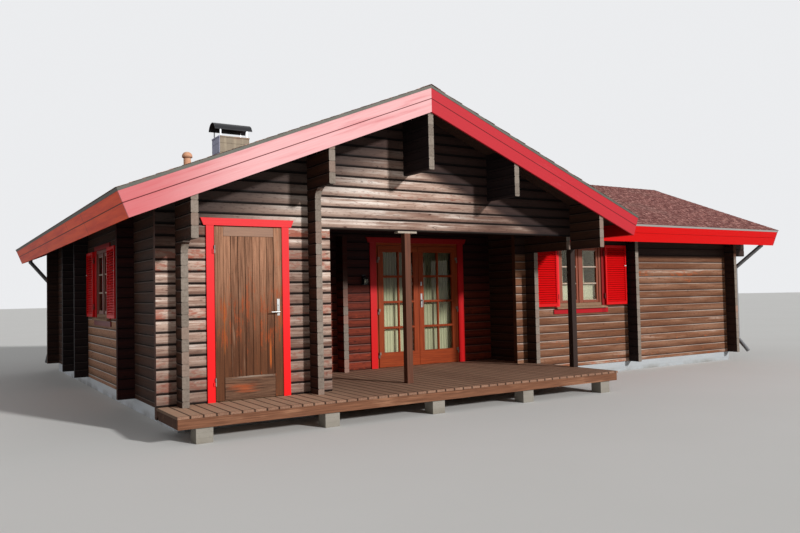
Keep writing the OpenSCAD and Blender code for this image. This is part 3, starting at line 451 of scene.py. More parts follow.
for name, (nodes, *how) in log_finishes.items():
    made = finish(name, log_looks(*how))
    for node in nodes:
        dress(node, made)

# ---- Floor ----
# Spruce boards, 120 mm wide, nailed on the joists of the store room, the main room and
# the wing. They are oiled, and hardly seen through the doors and windows.
def along_first(axes, run):
    """The axes with the one along the grain first. run is its number, 0 to 2 for x to z,
    or a function that works them out."""
    return run(*axes) if callable(run) else [axes[run]] + [v for i, v in enumerate(axes)
                                                           if i != run]


def timber(deep, light, worn, run, wear=0.0, gloss=0.6, pitch=None, depth=0.002, seed=0,
           extra=None):
    """Looks of sawn or planed timber. pitch is the axis, start and width of its boards."""

    def looks(place):
        axes = place.parts()
        along, a, b = along_first(axes, run)
        board = along * 0.0
        if pitch:
            axis, start, width = pitch
            board = ((axes[axis] - start) / width).whole()
        luck = (board + seed).chance()
        drift = along + luck * 23 + seed
        fibre = streaky(drift * 2.4, a * 80, b * 80, 5, 0.6)
        streak = streaky(drift * 1.0, a * 16, b * 16, 3, 0.5)
        patch = streaky(drift * 1.6, a * 4, b * 4, 3, 0.55)
        bared = (patch * 0.6 + streak * 0.5).rise(0.66 - wear, 0.82 - wear)
        colour = coats((fibre.rise(0.3, 0.72) * 0.7 + luck * 0.35).blend(deep, light),
                       (bared * fibre.rise(0.2, 0.7), worn))
        values = surface(colour, gloss + fibre * 0.15, fibre * 0.5 + streak * 0.4, depth,
                         0.15 if gloss > 0.45 else 0.4)
        if extra:
            extra(values, axes, fibre, luck)
        return values

    return looks


dress("floor", finish("floor_boards", timber(
    (120, 84, 50), (168, 126, 84), (150, 110, 70), 1, 0.0, 0.5, (0, 0, 0.12))))

# ---- Deck ----
# Impregnated boards, 131 mm wide, run from the house to the front edge over a joisted rim.
# They are stained brown and paler on the left, partly bleached and partly painted sunlight,
# with painted shade and grime along the sides of each board.
deck_low, deck_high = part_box("deck_boards")
board_pitch, board_gap, board_middle = 0.138, 0.007, 0.475


def piece(name, made, place, body, look, smooth=False):
    """Makes the bmesh a piece of the cabin and puts it on its body."""
    bmesh.ops.transform(made, matrix=place, verts=made.verts[:])
    bmesh.ops.recalc_face_normals(made, faces=made.faces[:])
    data = mesh_of(name, made)
    for face in data.polygons:
        face.use_smooth = smooth
    data.materials.append(look)
    thing = in_scene(name, data)
    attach(thing, body)
    return thing


def ease(made, edges, offset, segments=1):
    """Takes the sharpness off some edges."""
    bmesh.ops.bevel(made, geom=list(edges), offset=offset, segments=segments,
                    affect="EDGES", profile=0.5, material=-1, clamp_overlap=True)


def plank(made, low, high, edge=0.0, segments=1):
    """A sawn board between two corners, with its edges eased."""
    low, high = Vector(low), Vector(high)
    size = Matrix.Diagonal((*(high - low), 1))
    new = bmesh.ops.create_cube(made, size=1, matrix=Matrix.Translation((low + high) / 2) @ size)
    if edge:
        ease(made, {e for v in new["verts"] for e in v.link_edges}, edge, segments)


def keep_inside(thing, node):
    """Cuts a rough piece to the outline of the CAD piece that it stands for, as a bmesh,
    and takes the rough piece away."""
    outline = bmesh.new()
    outline.from_mesh(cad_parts[node].data)
    bmesh.ops.remove_doubles(outline, verts=outline.verts[:], dist=1e-5)
    cutter = in_scene("outline", mesh_of("outline", outline))
    cut = thing.modifiers.new("cut", "BOOLEAN")
    cut.operation, cut.solver, cut.object = "INTERSECT", "EXACT", cutter
    held = thing.evaluated_get(bpy.context.evaluated_depsgraph_get())
    made = bmesh.new()
    made.from_mesh(bpy.data.meshes.new_from_object(held))
    bpy.data.objects.remove(cutter)
    bpy.data.objects.remove(thing)
    bmesh.ops.remove_doubles(made, verts=made.verts[:], dist=1e-5)
    bmesh.ops.dissolve_limit(made, angle_limit=0.01, verts=made.verts[:], edges=made.edges[:])
    return made


def recoat(values, *layers):
    """Lays more colours over those that a finish has."""
    values["Base Color"] = coats(values["Base Color"], *layers)


def worn_deck(values, axes, fibre, luck):
    """Paler on the left, partly bleached and partly painted sunlight, with painted shade and
    grime along the sides of each board.
    """
    x, y, _ = axes
    gap_shade_and_dirt = abs(((x - deck_low.x) / board_pitch).share() - board_middle).rise(0.36, board_middle)
    sunlit_and_bleached = (x - ridge_x).rise(-0.6, -1.8) * 0.6 + 0.1
    sunlit_and_bleached = sunlit_and_bleached * (y - deck_low.y).rise(0.0, 0.06) * (fibre * 0.5 + 0.5)
    recoat(values, (sunlit_and_bleached, (206, 170, 142)), (gap_shade_and_dirt * 0.7, (38, 26, 21)))


deck_look = finish("deck_boards", timber(
    (112, 80, 64), (156, 120, 98), (182, 148, 124), 1, 0.02, 0.7,
    (0, deck_low.x, board_pitch), 0.003, 5, worn_deck))
deck_boards, over = bmesh.new(), 0.01
for i in range(int((deck_high.x - deck_low.x) / board_pitch) + 1):
    left = deck_low.x + i * board_pitch
    plank(deck_boards, (left, deck_low.y - over, deck_low.z - over),
          (min(left + board_pitch - board_gap, deck_high.x), deck_high.y + over,
           deck_high.z + over))
rough_deck = piece("deck_rough", deck_boards, Matrix(), "house", deck_look)
deck_boards = keep_inside(rough_deck, "deck_boards")
ease(deck_boards,
     [e for e in deck_boards.edges if e.is_manifold and e.calc_face_angle() > 1], 0.004)
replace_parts(piece("deck_planks", deck_boards, Matrix(), "house", deck_look),
            "deck_boards")


def rim_shade(values, axes, fibre, luck):
    """The front rim stays weathered brown; the left rim and the joists get painted shade."""
    recoat(values, ((axes[1] - deck_low.y).rise(0.03, 0.06) * 0.75, (44, 31, 26)))


dress("deck_frame", finish("deck_rim", timber(
    (96, 62, 44), (142, 96, 71), (162, 118, 90), 0, 0.08, 0.75, None, 0.003, 3, rim_shade)))

# ---- Porch posts ----
# Planed square posts, stained red-brown, that carry the gable logs. The middle one stands
# in the sun under a spreader block; the one at the wing's corner gets painted shade.
spreader_foot = 2.298


def post_shade(values, axes, fibre, luck):
    lx, _, z = on_house(axes)
    # Painted shade on the post at the wing's corner
    recoat(values, (lx > 2.0, (fibre * 0.6).blend((34, 24, 21), (70, 50, 42))),
           ((z > spreader_foot) * (lx < 1.0), fibre.blend((128, 112, 98), (196, 184, 168))))


dress("posts", finish("posts", timber(
    (74, 46, 34), (108, 66, 48), (126, 80, 62), 2, 0.0, 0.6, None, 0.002, 2, post_shade)))

# ---- Roof boards ----
# Tongued boards run down the slope over the purlins; their planed undersides show at the
# overhangs and over the porch. Insulation and underlay lie on them.
pitch = math.radians(21.8)
panel_t, roof_board_t, roof_board_w = 0.12, 0.022, 0.11
barge_t, seat = 0.028, 0.0003
eave_run, eave_out, verge_overhang = 3.84, 0.75, 0.64
front_verge, rear_verge = -verge_overhang, 9.76
wing_back_y, wing_w = 5.57, 5.42
wing_mid_y = (wing_front + wing_back_y) / 2
wing_run = wing_mid_y - wing_front + eave_out
wing_verge = side_x + wing_w + verge_overhang
wing_ridge_z = ridge_z - (eave_run - wing_run) * math.tan(pitch)
main_slope, wing_slope = eave_run / math.cos(pitch), wing_run / math.cos(pitch)
to_left, to_right, to_front, to_back = (-1, 0, 0), (1, 0, 0), (0, -1, 0), (0, 1, 0)


def slope(ridge, along, down):
    """Sets a bmesh made as along, down the slope and out of it on a slope of the roof."""
    along = Vector(along)
    down = Vector(down) * math.cos(pitch) + Vector((0, 0, -math.sin(pitch)))
    out = down.cross(along)
    out = out if out.z > 0 else -out
    turned = Matrix((along, down, out)).transposed().to_4x4()
    return house @ Matrix.Translation(ridge) @ turned


main_left, main_right = (slope((0, 0, ridge_z), to_back, side) for side in (to_left, to_right))
wing_near, wing_far = (slope((0, wing_mid_y, wing_ridge_z), to_right, side)
                       for side in (to_front, to_back))


def set_on(made, new, place, cuts):
    """Sets what was made flat on a slope, cuts away what is past some planes of the house,
    closes the cuts, and adds it to the rest."""
    bmesh.ops.transform(new, matrix=place, verts=new.verts[:])
    for point, outward in cuts:
        cut = bmesh.ops.bisect_plane(
            new, geom=new.verts[:] + new.edges[:] + new.faces[:], dist=1e-6,
            plane_co=house @ Vector(point), plane_no=Vector(outward), clear_outer=True)
        rims = [g for g in cut["geom_cut"] if isinstance(g, bmesh.types.BMEdge)]
        bmesh.ops.holes_fill(new, edges=rims)
    data = mesh_of("part", new)
    made.from_mesh(data)
    bpy.data.meshes.remove(data)


def lay_roof_boards(made, place, start, end, foot, cuts):
    """Boards and the panel over them, from start to end along the ridge, down to foot."""
    new = bmesh.new()
    past_ridge, board_top = -0.06, -panel_t + roof_board_t
    count = round((end - start) / roof_board_w)
    step = (end - start) / count
    for i in range(count):
        plank(new, (start + i * step, past_ridge, -panel_t),
              (start + (i + 1) * step - 0.0004, foot, board_top), 0.005)
    plank(new, (start, past_ridge, board_top + seat), (end, foot, 0))
    set_on(made, new, place, cuts)


roof_boards = bmesh.new()
main_foot, wing_foot = (slope_w - barge_t - seat for slope_w in (main_slope, wing_slope))
verge_in, verge_out = front_verge + barge_t, rear_verge - barge_t
lay_roof_boards(roof_boards, main_left, verge_in, verge_out, main_foot,
                [((-seat / 2, 0, 0), to_right)])
at_ridge = ((seat / 2, 0, 0), to_left)
for start, end, *cuts in ((verge_in, wing_front - seat),
                          (wing_front, wing_back_y, ((side_x - seat, 0, 0), to_right)),
                          (wing_back_y + seat, verge_out)):
    lay_roof_boards(roof_boards, main_right, start, end, main_foot, [at_ridge, *cuts])
# The wing's boards stop on the main slope's top
top_of_main = ((0, 0, ridge_z), (-math.sin(pitch), 0, -math.cos(pitch)))
for place, side in ((wing_near, 1), (wing_far, -1)):
    lay_roof_boards(roof_boards, place, side_x, wing_verge - barge_t, wing_foot,
                    [((0, wing_mid_y - side * seat / 2, 0), (0, side, 0)), top_of_main])
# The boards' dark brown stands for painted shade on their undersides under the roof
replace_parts(piece("roof_boarding", roof_boards, Matrix(), "house", finish(
    "roof_boarding", timber((40, 28, 24), (70, 48, 38), (84, 58, 46), 0, 0.0, 0.65))),
    "roof_panels")

# ---- Shingles ----
# Bitumen shingles with mineral grit, three tabs to a strip, nailed from the eaves upwards,
# with single tabs folded over the ridges. The grit is red-brown and worn pale in places;
# near the edges of the main roof it has turned greenish grey.
show, lap, tab_w, slot_w, tab_t = 0.145, 0.03, 0.333, 0.009, 0.0038
drip, butt_up, tab_foot = 0.01, 0.0048, 0.0002


def roof_place(lx, ly, z, wing):
    """How far down its slope, and how deep under its top, a point of the roof is."""
    aside = abs(lx) * (1 - wing) + abs(ly - wing_mid_y) * wing
    fall = wing * (wing_ridge_z - ridge_z) + ridge_z - z
    down = aside * math.cos(pitch) + fall * math.sin(pitch)
    return down, fall * math.cos(pitch) - aside * math.sin(pitch)


def mineral_grit(place):
    lx, ly, z = on_house(place.parts())
    wing = (lx > side_x) * (ly > 0.3) * (ly < 6.3)
    side_on = lx * wing + ly * (1 - wing)
    down, depth = roof_place(lx, ly, z, wing)
    row = (down / show).whole()
    luck = ((side_on / tab_w + row * 0.5).whole() + row * 37).chance()
    grit = cloudy(place, 420, 2, 0.7)
    speck = cloudy(place, 110, 3, 0.75)
    stipple = streaky(side_on * 16, down * 8, depth * 4, 4, 0.8)
    broad = cloudy(place, 0.9, 4, 0.6)
    blotch = cloudy(place, 9, 4, 0.6)
    spot = place.spots(3.1, 1.0).rise(0.09, 0.04) * blotch.rise(0.4, 0.6)
    moss = (ly < 0.2) + (lx < -3.3) + lx.rise(4.9, 3.7) * lx.rise(2.2, 3.0)
    moss = moss.capped(1.0) * broad.rise(0.3, 0.55)
    base = speck.rise(0.3, 0.7) * 0.5 + blotch * 0.3 + luck * 0.3
    colour = coats(
        base.blend((102, 57, 53), (156, 102, 95)),
        (broad.rise(0.5, 0.75) * 0.3, (140, 116, 106)),
        (moss * 0.55, (118, 116, 98)),
        (grit.rise(0.55, 0.72) * speck.rise(0.45, 0.6) * 0.7, (206, 168, 158)),
        (stipple.rise(0.53, 0.43) * 0.9, (86, 44, 42)),
        (stipple.rise(0.54, 0.62) * 0.75, (214, 164, 152)),
        (speck.rise(0.36, 0.26) * 0.5, (70, 40, 40)),
        (spot * 0.6, (206, 190, 180)))
    return surface(colour, 0.92, grit * 0.6 + speck * 0.6, 0.002, 0.15)


def lay_shingles(made, place, start, end, foot, cuts):
    """Tabs in laps from the eave to the ridge, each course half a tab on from the last."""
    new = bmesh.new()
    fall = (tab_t + seat) / show
    for row in range(math.ceil(foot / show) + 1):
        butt = foot - row * show
        for i in range(-1, math.ceil((end - start) / tab_w) + 1):
            left = start + i * tab_w + (row % 2) * tab_w / 2
            if left + tab_w < start or left > end:
                continue
            plank(new, (left, butt - (show + lap), 0), (left + tab_w - slot_w, butt, tab_t))
            for vert in new.verts[-8:]:
                vert.co.z = max(vert.co.z + (butt_up - fall * (butt - vert.co.y)), tab_foot)
    set_on(made, new, place, cuts)


def lay_ridge_tabs(made, slopes, start, end, last):
    """Tabs folded over a ridge, lapped from one end to the other, where they are cut."""
    for place, half in slopes:
        new = bmesh.new()
        for i in range(math.ceil((end - start) / show)):
            at = start + i * show
            plank(new, (at, -0.03, 0), (at + show + lap, 0.15, 0.003))
            for vert in new.verts[-8:]:
                vert.co.z += 0.0093 - 0.026 * (vert.co.x - at)
        set_on(made, new, place, [half, last])


main_edge, wing_edge = main_slope + drip, wing_slope + drip
front_end = ((0, front_verge - drip, 0), to_front)
rear_end = ((0, rear_verge + drip, 0), to_back)
wing_end = ((wing_verge + drip, 0, 0), to_right)
left_half, right_half = ((0, 0, 0), to_right), ((0, 0, 0), to_left)
near_half, far_half = ((0, wing_mid_y, 0), to_back), ((0, wing_mid_y, 0), to_front)
near_valley = (eave_run, wing_mid_y - wing_run, 0)
far_valley = (eave_run, wing_mid_y + wing_run, 0)
under_main = 0.8
shingles = bmesh.new()
for place, start, end, edge, cuts in (
        (main_left, front_verge, rear_verge, main_edge, [front_end, rear_end, left_half]),
        (main_right, front_verge, wing_mid_y, main_edge,
         [front_end, near_half, (near_valley, (1, 1, 0)), right_half]),
        (main_right, wing_mid_y, rear_verge, main_edge,
         [rear_end, far_half, (far_valley, (1, -1, 0)), right_half]),
        (wing_near, under_main, wing_verge, wing_edge,
         [wing_end, (near_valley, (-1, -1, 0)), near_half]),
        (wing_far, under_main, wing_verge, wing_edge,
         [wing_end, (far_valley, (-1, 1, 0)), far_half])):
    lay_shingles(shingles, place, start, end, edge, cuts)
lay_ridge_tabs(shingles, ((main_left, left_half), (main_right, right_half)),
               front_verge - drip, rear_verge + drip, rear_end)
wing_meets = (ridge_z - wing_ridge_z) / math.tan(pitch)
lay_ridge_tabs(shingles, ((wing_near, near_half), (wing_far, far_half)),
               wing_meets, wing_verge + drip, wing_end)
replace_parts(piece("shingle_courses", shingles, Matrix(), "house",
                  finish("mineral_grit", mineral_grit)), "roof_shingles")

# ---- Red boards at the roof's edge ----
# Two planks, one over the other with a V joint, at each gable and eave, painted red.
# Sun has bleached the left half of the front ones to pink; the wing's are fresh.
board_joint = 0.16


def painted(paint, faded, deep, run, wear, gloss=0.55, depth=0.0012, seed=0, extra=None):
    """Looks of painted boards whose paint has faded in streaks along the grain."""

    def looks(place):
        axes = place.parts()
        along, a, b = along_first(axes, run)
        drift = along + seed
        fibre = streaky(drift * 2.4, a * 70, b * 70, 4, 0.6)
        streak = streaky(drift * 0.9, a * 13, b * 13, 4, 0.6)
        blotch = cloudy(place, 3.5, 5, 0.65)
        pale = (streak * 0.6 + blotch * 0.5).rise(0.72 - wear, 0.95 - wear * 0.6)
        colour = coats((fibre * 0.5).blend(paint, deep), (pale * (fibre * 0.4 + 0.6), faded))
        values = surface(colour, gloss + pale * 0.2, fibre * 0.5 + streak * 0.3, depth)
        if extra:
            extra(values, axes, fibre, streak)
        return values

    return looks


def barge_grain(*axes):
    """Along, across and through the boards that follow the roof's slopes."""
    lx, ly, z = on_house(axes)
    wing = lx > 8.9
    down, depth = roof_place(lx, ly, z, wing)
    return down + (lx > 0) * 7.3 + (ly > 5) * 11.9, depth, ly * (1 - wing) + lx * wing


def eave_grain(*axes):
    """Along, across and through the boards along the eaves."""
    lx, ly, z = on_house(axes)
    wing = lx > 3.87
    down, depth = roof_place(lx, ly, z, wing)
    return lx * wing + ly * (1 - wing), depth, down


def v_joint(across):
    return abs(across - board_joint).rise(0.0068, 0.0045)


def barge_fading(values, axes, fibre, streak):
    lx, ly, _ = on_house(axes)
    bleached = (lx < 0) * (ly < 0.5) * (0.35 + 0.65 * (lx + 3.7).rise(0.0, 1.5))
    bleached = bleached * (streak.rise(0.25, 0.52) * 0.45 + 0.55)
    recoat(values, (bleached * 0.92, fibre.blend((222, 158, 158), (236, 190, 190))),
           (v_joint(barge_grain(*axes)[1]) * 0.85, (92, 30, 34)))


dress("barge_boards", finish("barge_boards", painted(
    (190, 40, 50), (220, 108, 116), (160, 30, 40), barge_grain, 0.1, 0.55, 0.0015, 0,
    barge_fading)))


def eave_fading(values, axes, fibre, streak):
    """Brick red at the left eave, where the planks' butt joints show too."""
    lx, ly, _ = on_house(axes)
    across = eave_grain(*axes)[1]
    left, upper = lx < -3.5, across < board_joint
    joint = v_joint(across)
    for at, on in ((1.6, 1.0), (2.85, upper), (5.4, 1 - upper), (7.3, upper)):
        joint = joint | (abs(ly - at).rise(0.007, 0.003) * left * on)
    recoat(values, (left, streak.rise(0.3, 0.62).blend((214, 52, 4), (236, 78, 18))),
           (joint * (0.25 + 0.6 * left), (46, 18, 14)))


dress("eave_boards", finish("eave_boards", painted(
    (218, 6, 6), (224, 40, 30), (190, 6, 6), eave_grain, -0.04, 0.5, 0.0012, 3,
    eave_fading)))

# ---- Metal edging ----
# Zinc strips, folded over the edge of the shingles and nailed to the boards. They are dull
# green-grey at the gables and the left eave, and paler over the wing's eave.
def dull_metal(light, dark, rough, metal, extra=None):
    """Looks of sheet metal, steel or brass that has clouded a little."""

    def looks(place):
        cloud = cloudy(place, 6, 4)
        fine = cloudy(place, 60, 3)
        values = {"Base Color": (cloud * 0.7 + fine * 0.3).blend(dark, light),
                  "Roughness": rough + fine * 0.15, "Metallic": metal,
                  "Normal": cloud.bump(0.001)}
        if extra:
            extra(values, place.parts(), cloud, fine)
        return values

    return looks


def paler_at_wing(values, axes, cloud, fine):
    lx = axes[0] - ridge_x
    recoat(values, ((lx > 3.86) * (lx < 9.14), fine.blend((150, 148, 144), (182, 178, 172))))


dress("roof_edging", finish("zinc_edging", dull_metal(
    (88, 86, 76), (58, 58, 50), 0.5, 0.3, paler_at_wing)))

# ---- Chimney ----
# A brick stack dressed in dark folded sheet, with a skirt on the roof and a lip at the top.
# A black barrel cap stands over it on four galvanised legs.
chimney_low, chimney_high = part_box("chimney")
skirt_out, lip_h, leg_h = 0.012, 0.024, 0.132
stack_low = chimney_low + Vector((skirt_out, skirt_out, 0))
stack_high = chimney_high - Vector((skirt_out, skirt_out, lip_h))


def chimney_sheet(values, axes, cloud, fine):
    """Rain streaks down the sheet, rust along its top fold, and a painted reflection of the sky
    on the left face.
    """
    x, y, z = axes
    streak = streaky(x * 22, y * 22, z * 1.6, 4, 0.6)
    rust = (stack_high.z - z).rise(0.05, 0.0) * cloud.rise(0.45, 0.6)
    recoat(values, (streak.rise(0.5, 0.72) * 0.5, (150, 136, 112)),
           (rust * 0.5, (112, 70, 44)),
           (x < stack_low.x + 0.002, cloud.blend((126, 128, 150), (170, 172, 196))))


sheet_look = finish("chimney_sheet", dull_metal(
    (132, 116, 94), (96, 84, 68), 0.5, 0.25, chimney_sheet))
dress("chimney", sheet_look)
folds = bmesh.new()
fold_out, fold_t, fold_h = 0.005, 0.006, 0.014
for level in (0.22, 0.4):
    foot = ridge_z - 0.04 + level
    for y in (stack_low.y - fold_out, stack_high.y - 0.001):
        plank(folds, (stack_low.x - fold_out, y, foot),
              (stack_high.x + fold_out, y + fold_t, foot + fold_h), 0.002)
    for x in (stack_low.x - fold_out, stack_high.x - 0.001):
        plank(folds, (x, stack_low.y, foot), (x + fold_t, stack_high.y, foot + fold_h), 0.002)
for y in (stack_low.y, stack_high.y):
    for x in (stack_low.x, stack_high.x):
        plank(folds, (x - fold_t, y - fold_t, ridge_z + 0.17),
              (x + fold_t, y + fold_t, stack_high.z), 0.002)
piece("chimney_folds", folds, Matrix(), "house", sheet_look)


def galvanised_legs(values, axes, cloud, fine):
    recoat(values, (axes[2] < chimney_high.z + leg_h, (190, 192, 194)))


dress("chimney_cap", finish("chimney_cap", dull_metal(
    (44, 44, 47), (26, 26, 28), 0.3, 0.35, galvanised_legs)))

# ---- Vent ----
# A clay pipe with a mushroom cap, bedded through the shingles; pale orange, lichened.
# Just under its cap it is darker.
vent_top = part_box("vent_pipe")[1].z


def fired_clay(place):
    x, y, z = place.parts()
    cloud = cloudy(place, 14, 4)
    turned = streaky(x * 6, y * 6, z * 160, 3)
    lichen = cloud.rise(0.55, 0.68) * cloudy(place, 60, 3).rise(0.45, 0.6)
    # A darker band just under the cap
    dark_band_under_cap = (vent_top - 0.10 - z).rise(0.02, -0.005) * (vent_top - 0.07 - z > 0)
    colour = coats(cloud.blend((196, 134, 98), (226, 178, 144)),
                   (lichen * 0.6, (232, 218, 196)), (dark_band_under_cap * 0.4, (96, 70, 54)))
    return surface(colour, 0.85, turned * 0.5 + cloud * 0.3, 0.002, 0.5)


dress("vent_pipe", finish("fired_clay", fired_clay))

# ---- Downpipes ----
# Zinc pipes, clipped to the log ends, with a bend under the eave and a kicked foot.
# Rain has stained them in runs.
def rain_stains(values, axes, cloud, fine):
    x, y, z = axes
    run = streaky(x * 40, y * 40, z * 2, 3).rise(0.5, 0.7)
    recoat(values, (run * 0.35, (70, 66, 62)))


dress("downpipes", finish("zinc_pipe", dull_metal(
    (140, 140, 142), (100, 100, 102), 0.38, 0.6, rain_stains)))

# ---- Door frames and trims ----
# Varnished pine linings in the log openings, and planed boards round them, painted bright
# red, with a splayed head board. The fixed hinge halves on them are steel.
store_door_x, porch_y, french_x = -2.235, 2.01, 1.49
door_foot, door_head = 0.308, 2.275
store_hinge_x, french_hinge_left, french_hinge_right = -2.651, 0.71, 2.27
french_face_y, lining_face_y, store_trim_y = porch_y - 0.0155, porch_y - 0.001, -0.0225


def hinge_steel(values, steel, colour, metal):
    """Steel where a hinge half stands out from the face of the wood."""
    recoat(values, (steel, colour))
    values["Specular IOR Level"] = 0.12
    values["Metallic"] = steel * metal


def frame_hinges(values, axes, fibre, luck):
    lx, ly, _ = on_house(axes)
    on_lining = ly < lining_face_y
    steel = (lx > 0) * (ly < french_face_y) * (ly > 1.9)
    steel = steel | ((lx > 0) * (lx < french_hinge_left + 0.0005) * on_lining)
    steel = steel | ((lx > french_hinge_right - 0.0005) * (lx < 3) * on_lining)
    hinge_steel(values, steel, (112, 98, 86), 0.5)


def joinery(low, high, both_walls=False):
    """Grain that stands upright, but lies across in the rails below and above two heights.
    In joinery of both the front's and the side's walls, x + y runs along the wall."""

    def run(x, y, z):
        if both_walls:
            x, y = x + y, x - y
        rail = ((z < low) + (z > high)).capped(1.0)
        return z * (1 - rail) + x * rail, x * (1 - rail) + z * rail, y

    return run


varnish = (104, 35, 11), (154, 64, 24), (170, 82, 38)
dress("door_frames", finish("door_frames", timber(
    *varnish, joinery(0.0, 2.27), 0.0, 0.35, None, 0.0012, 1, frame_hinges)))

red = (230, 44, 48), (240, 84, 84), (206, 26, 32)


def trim_hinges(values, axes, fibre, streak):
    """Redder low down, with painted shade in deep red round the porch's doors, deepest at their
    heads.
    """
    lx, ly, z = on_house(axes)
    steel = (ly < store_trim_y) * (z < 2.32) * (abs(lx - store_hinge_x) < 0.0096)
    deep = (lx > 0) * (z.rise(1.75, 2.15) * 0.35 + 0.28)
    # Painted shade in deep red round the porch's doors
    recoat(values, (z.rise(1.9, 0.8) * 0.8, (238, 16, 18)), (deep, (70, 12, 12)))
    hinge_steel(values, steel, (150, 140, 128), 0.6)


dress("door_trims", finish("door_trims", painted(
    *red, joinery(0.0, 2.325), 0.0, 0.42, 0.0012, 0, trim_hinges)))

# ---- Plank door ----
# Two stiles and a top rail round seven upright boards with V joints, with a kick board
# screwed on below. The stain has worn to orange wood in streaks.
leaf_w, leaf_t, leaf_h = 0.826, 0.042, 2.005
stile, top_rail, kick_h, in_field = 0.104, 0.11, 0.27, 0.009
door_place = house @ Matrix.Translation((store_door_x - leaf_w / 2, -leaf_t / 2, door_foot))
field_w = leaf_w - 2 * stile
door_boards = 7
board_w = field_w / door_boards


def on_leaf(x, z):
    """How far right of and above the leaf's lower left corner a place is."""
    return x - ridge_x - (store_door_x - leaf_w / 2), z - door_foot


def weathered_boards(place):
    x, y, z = place.parts()
    dx, dz = on_leaf(x, z)
    board = (dx - stile) / board_w
    luck = (board.whole() + 11).chance()
    drift = z + luck * 17
    fibre = streaky(dx * 110, y * 60, drift * 2.6, 5, 0.65)
    streak = streaky(dx * 24 + luck * 5, y * 9, drift * 1.3, 4, 0.6)
    fine = streaky(dx * 45, y * 20, drift * 4.5, 3, 0.6)
    smudge = streaky(dx * 16, y, dz * 5.5, 5, 0.7)
    specks = streaky(dx * 60, y, dz * 45, 4, 0.7).rise(0.6, 0.7)
    # Bare wood is widest from the middle to the lower part of the leaf
    middle = dz.rise(0.35, 0.8) * dz.rise(1.7, 1.1)
    bare = (streak * 0.45 + fine * 0.25 + smudge * 0.65 + middle * 0.1).rise(0.76, 0.9)
    fair = (streak * 0.7 + luck * 0.25 - middle * 0.05).rise(0.3, 0.18)
    # A bright strip low on the last board, and a thin one beside the left stile
    strip = abs(dx - 0.672).rise(0.018, 0.004) * dz.rise(0.3, 0.42) * dz.rise(0.78, 0.55)
    thin = abs(dx - 0.112).rise(0.006, 0.002) * dz.rise(0.5, 0.6) * dz.rise(1.3, 1.05)
    joint = abs(board.share() - 0.5).rise(0.45, 0.49)
    joint = joint * (dx > stile - 0.004) * (dx < leaf_w - stile + 0.004)
    brown = dz.rise(0.4, 1.9).blend((104, 64, 40), (182, 132, 102))
    colour = coats(
        (fibre.rise(0.28, 0.7) * 0.7 + luck * 0.35).blend((68, 40, 26), brown),
        (bare * 0.6, fine.blend((146, 62, 30), (176, 84, 42))),
        (fair * 0.5, (166, 130, 106)),
        (specks * 0.45, (48, 30, 22)),
        (strip * 0.6, (208, 104, 40)),
        (thin * 0.6, (206, 110, 44)),
        (joint * 0.85, (28, 18, 14)))
    return surface(colour, 0.72 + bare * 0.1, fibre * 0.6 + streak * 0.3, 0.0022)


def weathered_rails(place):
    x, y, z = place.parts()
    dx, dz = on_leaf(x, z)
    fibre = streaky(dx * 3.4, y * 60, dz * 120, 5, 0.65)
    streak = streaky(dx * 2.2, y * 9, dz * 26, 4, 0.6)
    patch = join3((dx - 0.34) * 4.5, 0.0, (dz - 0.13) * 15).length()
    patch = (patch + streak * 2.4).rise(2.3, 1.4)
    edge = dz.rise(0.238, 0.262) * (dz < 1.0) * streak.rise(0.4, 0.6)
    colour = coats(
        fibre.rise(0.3, 0.7).blend((66, 44, 33), (120, 88, 68)),
        ((dz > 1.0) * 0.6, (176, 140, 120)),
        (patch * 0.6, fibre.blend((150, 62, 30), (202, 98, 46))),
        (edge * 0.5, (186, 168, 152)))
    return surface(colour, 0.78, fibre * 0.6 + streak * 0.3, 0.0025)


uprights = bmesh.new()
for x in (0, leaf_w - stile):
    plank(uprights, (x, 0, 0), (x + stile, leaf_t, leaf_h), 0.0025)
for i in range(door_boards):
    x = stile + i * board_w
    plank(uprights, (x + 0.0004, in_field, kick_h - 0.03),
          (x + board_w - 0.0004, in_field + 0.018, leaf_h - top_rail + 0.01), 0.0042)
plank(uprights, (stile, in_field + 0.02, 0.1), (leaf_w - stile, leaf_t - 0.004, leaf_h - 0.05))
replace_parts(piece("door_uprights", uprights, door_place, "plank_door",
                  finish("door_boards", weathered_boards)), "plank_door")

rails = bmesh.new()
rail_left, rail_right, rail_back = stile + 0.0005, leaf_w - stile - 0.0005, leaf_t - 0.0005
plank(rails, (rail_left, 0.0005, leaf_h - top_rail), (rail_right, rail_back, leaf_h), 0.0025)
plank(rails, (rail_left, 0.001, 0.0), (rail_right, rail_back, kick_h - 0.005), 0.002)
# The kick board is two boards, the upper one with a frayed top edge
kick_left, kick_out = stile + 0.002, -0.008
plank(rails, (kick_left, kick_out, 0.02), (leaf_w - kick_left, 0.001, 0.138), 0.0015)
fray = random.Random(4)
teeth = 26
tooth_w = (field_w - 0.004) / teeth
for i in range(teeth):
    x = kick_left + i * tooth_w
    plank(rails, (x, kick_out, 0.1395),
          (x + tooth_w, 0.001, kick_h - 0.002 - fray.random() * 0.008))
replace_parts(piece("door_rails", rails, door_place, "plank_door",
                  finish("door_rails", weathered_rails)), "plank_door")


def round_bar(made, start, end, radius, segments=16, tip=None):
    """A round bar between two points, with its ends eased."""
    start, end = Vector(start), Vector(end)
    run = end - start
    turned = run.to_track_quat("Z", "Y").to_matrix().to_4x4()
    new = bmesh.ops.create_cone(
        made, cap_ends=True, segments=segments, radius1=radius, radius2=tip or radius,
        depth=run.length, matrix=Matrix.Translation((start + end) / 2) @ turned)
    ease(made, {e for v in new["verts"] for e in v.link_edges if len(e.link_faces) == 2
                and e.calc_face_angle() > 1}, radius * 0.2, 2)


